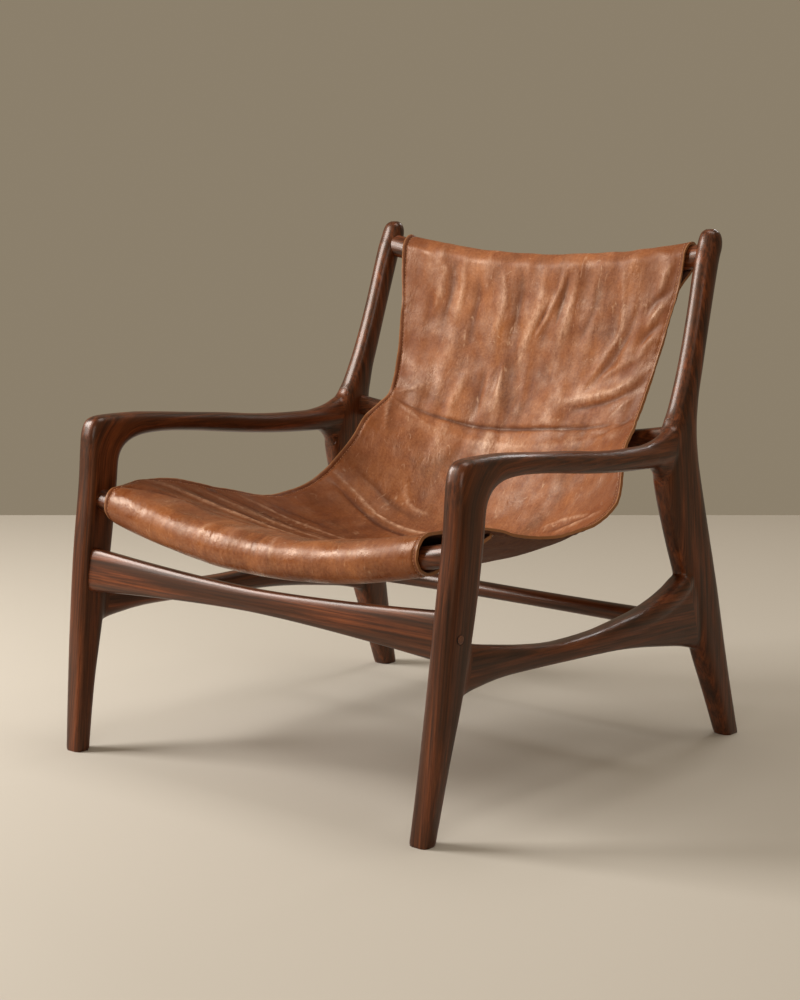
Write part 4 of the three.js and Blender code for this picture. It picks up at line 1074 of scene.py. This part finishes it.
for plug, node in ((right_plug, "right_bolt_plug"), (left_plug, "left_bolt_plug")):
    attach(plug, "root")
    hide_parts(node)

# Bare beech: pale and dull, with small darker flecks
beech, tree, shader = new_material("beech")
BEECH_FLECK = 0.002
place = add(tree, "ShaderNodeTexCoord").outputs["Object"]
spots = add(tree, "ShaderNodeValToRGB", {"Fac": patches(place, BEECH_FLECK)}, stops=[
    (0.35, "#b98f5f"), (0.65, "#cfa878")])
tree.links.new(spots.outputs["Color"], shader.inputs["Base Color"])
shader.inputs["Roughness"].default_value = 0.7
# Zinc plating: a cool grey metal, its gloss faintly clouded
zinc, tree, shader = new_material("zinc plated steel")
ZINC_CLOUD = 0.003
place = add(tree, "ShaderNodeTexCoord").outputs["Object"]
gloss = add(tree, "ShaderNodeMapRange", {
    "Value": patches(place, ZINC_CLOUD), "From Min": 0.3, "From Max": 0.7, "To Min": 0.3, "To Max": 0.42})
tree.links.new(gloss.outputs["Result"], shader.inputs["Roughness"])
shader.inputs["Base Color"].default_value = srgb("#a8a8a6")
shader.inputs["Metallic"].default_value = 1.0
for name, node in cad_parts.items():
    for word, material in (("dowel", beech), ("rail_bolt", zinc), ("barrel_nut", zinc)):
        if word in name:
            node.data.materials.clear()
            node.data.materials.append(material)

# Floor, light and camera
# A plain pale studio floor, turned to face the camera. A large soft light stands to the left,
# with weaker ones beside it, in front, above and behind.

TURN = math.radians(40.683)
FLOOR_SIZE = (14, 10)
FLOOR_FORWARD = 2.8
bpy.ops.mesh.primitive_plane_add(size=1)
floor = bpy.context.object
floor.name = "floor"
floor.scale = (*FLOOR_SIZE, 1)
floor.rotation_euler = (0, 0, TURN)
floor.location = (FLOOR_FORWARD * math.sin(TURN), -FLOOR_FORWARD * math.cos(TURN), 0)
bpy.ops.object.transform_apply(location=True, rotation=True, scale=True)
# Matt pale paint, so that the shadows lie soft on it
ground, tree, shader = new_material("pale studio floor")
shader.inputs["Base Color"].default_value = srgb("#c6bcad")
shader.inputs["Roughness"].default_value = 0.8
floor.data.materials.append(ground)

world = bpy.data.worlds.new("studio")
world.use_nodes = True
world.node_tree.nodes["Background"].inputs["Color"].default_value = srgb("#a4967f")
world.node_tree.nodes["Background"].inputs["Strength"].default_value = 0.7
bpy.context.scene.world = world


def softbox(name, place, target, size, power):
    """An area light aimed at a target, its size in metres and its power in watts."""
    light = bpy.data.lights.new(name, "AREA")
    light.shape = "RECTANGLE"
    light.size, light.size_y = size
    light.energy = power
    made = bpy.data.objects.new(name, light)
    made.location = place
    direction = np.array(target) - np.array(place)
    made.rotation_euler = (
        math.atan2(math.hypot(direction[0], direction[1]), -direction[2]), 0,
        math.atan2(direction[1], direction[0]) - math.pi / 2,
    )
    bpy.context.collection.objects.link(made)


softbox("key", (-2.3, -1.6, 2.1), (0, 0, 0.4), (1.3, 1.3), 106)
softbox("window", (-2.1, -2.1, 1.2), (0, 0, 0.4), (0.7, 0.9), 12)
softbox("fill", (1.8, -2.8, 1.6), (0, 0, 0.3), (2.0, 1.6), 25)
softbox("top", (0.3, 0.3, 2.6), (0.3, 0, 0), (1.6, 0.8), 16)
softbox("back", (-0.2, 2.7, 2.2), (0, 0, 0.5), (1.0, 0.4), 11)

camera = bpy.data.objects.new("camera", bpy.data.cameras.new("camera"))
camera.location = (2.14725, -2.50896, 0.94713)
camera.rotation_euler = (math.radians(80.656), 0, TURN)
camera.data.lens = 73.95
camera.data.sensor_width = 36
bpy.context.collection.objects.link(camera)
bpy.context.scene.camera = camera
bpy.context.scene.view_settings.view_transform = "Standard"
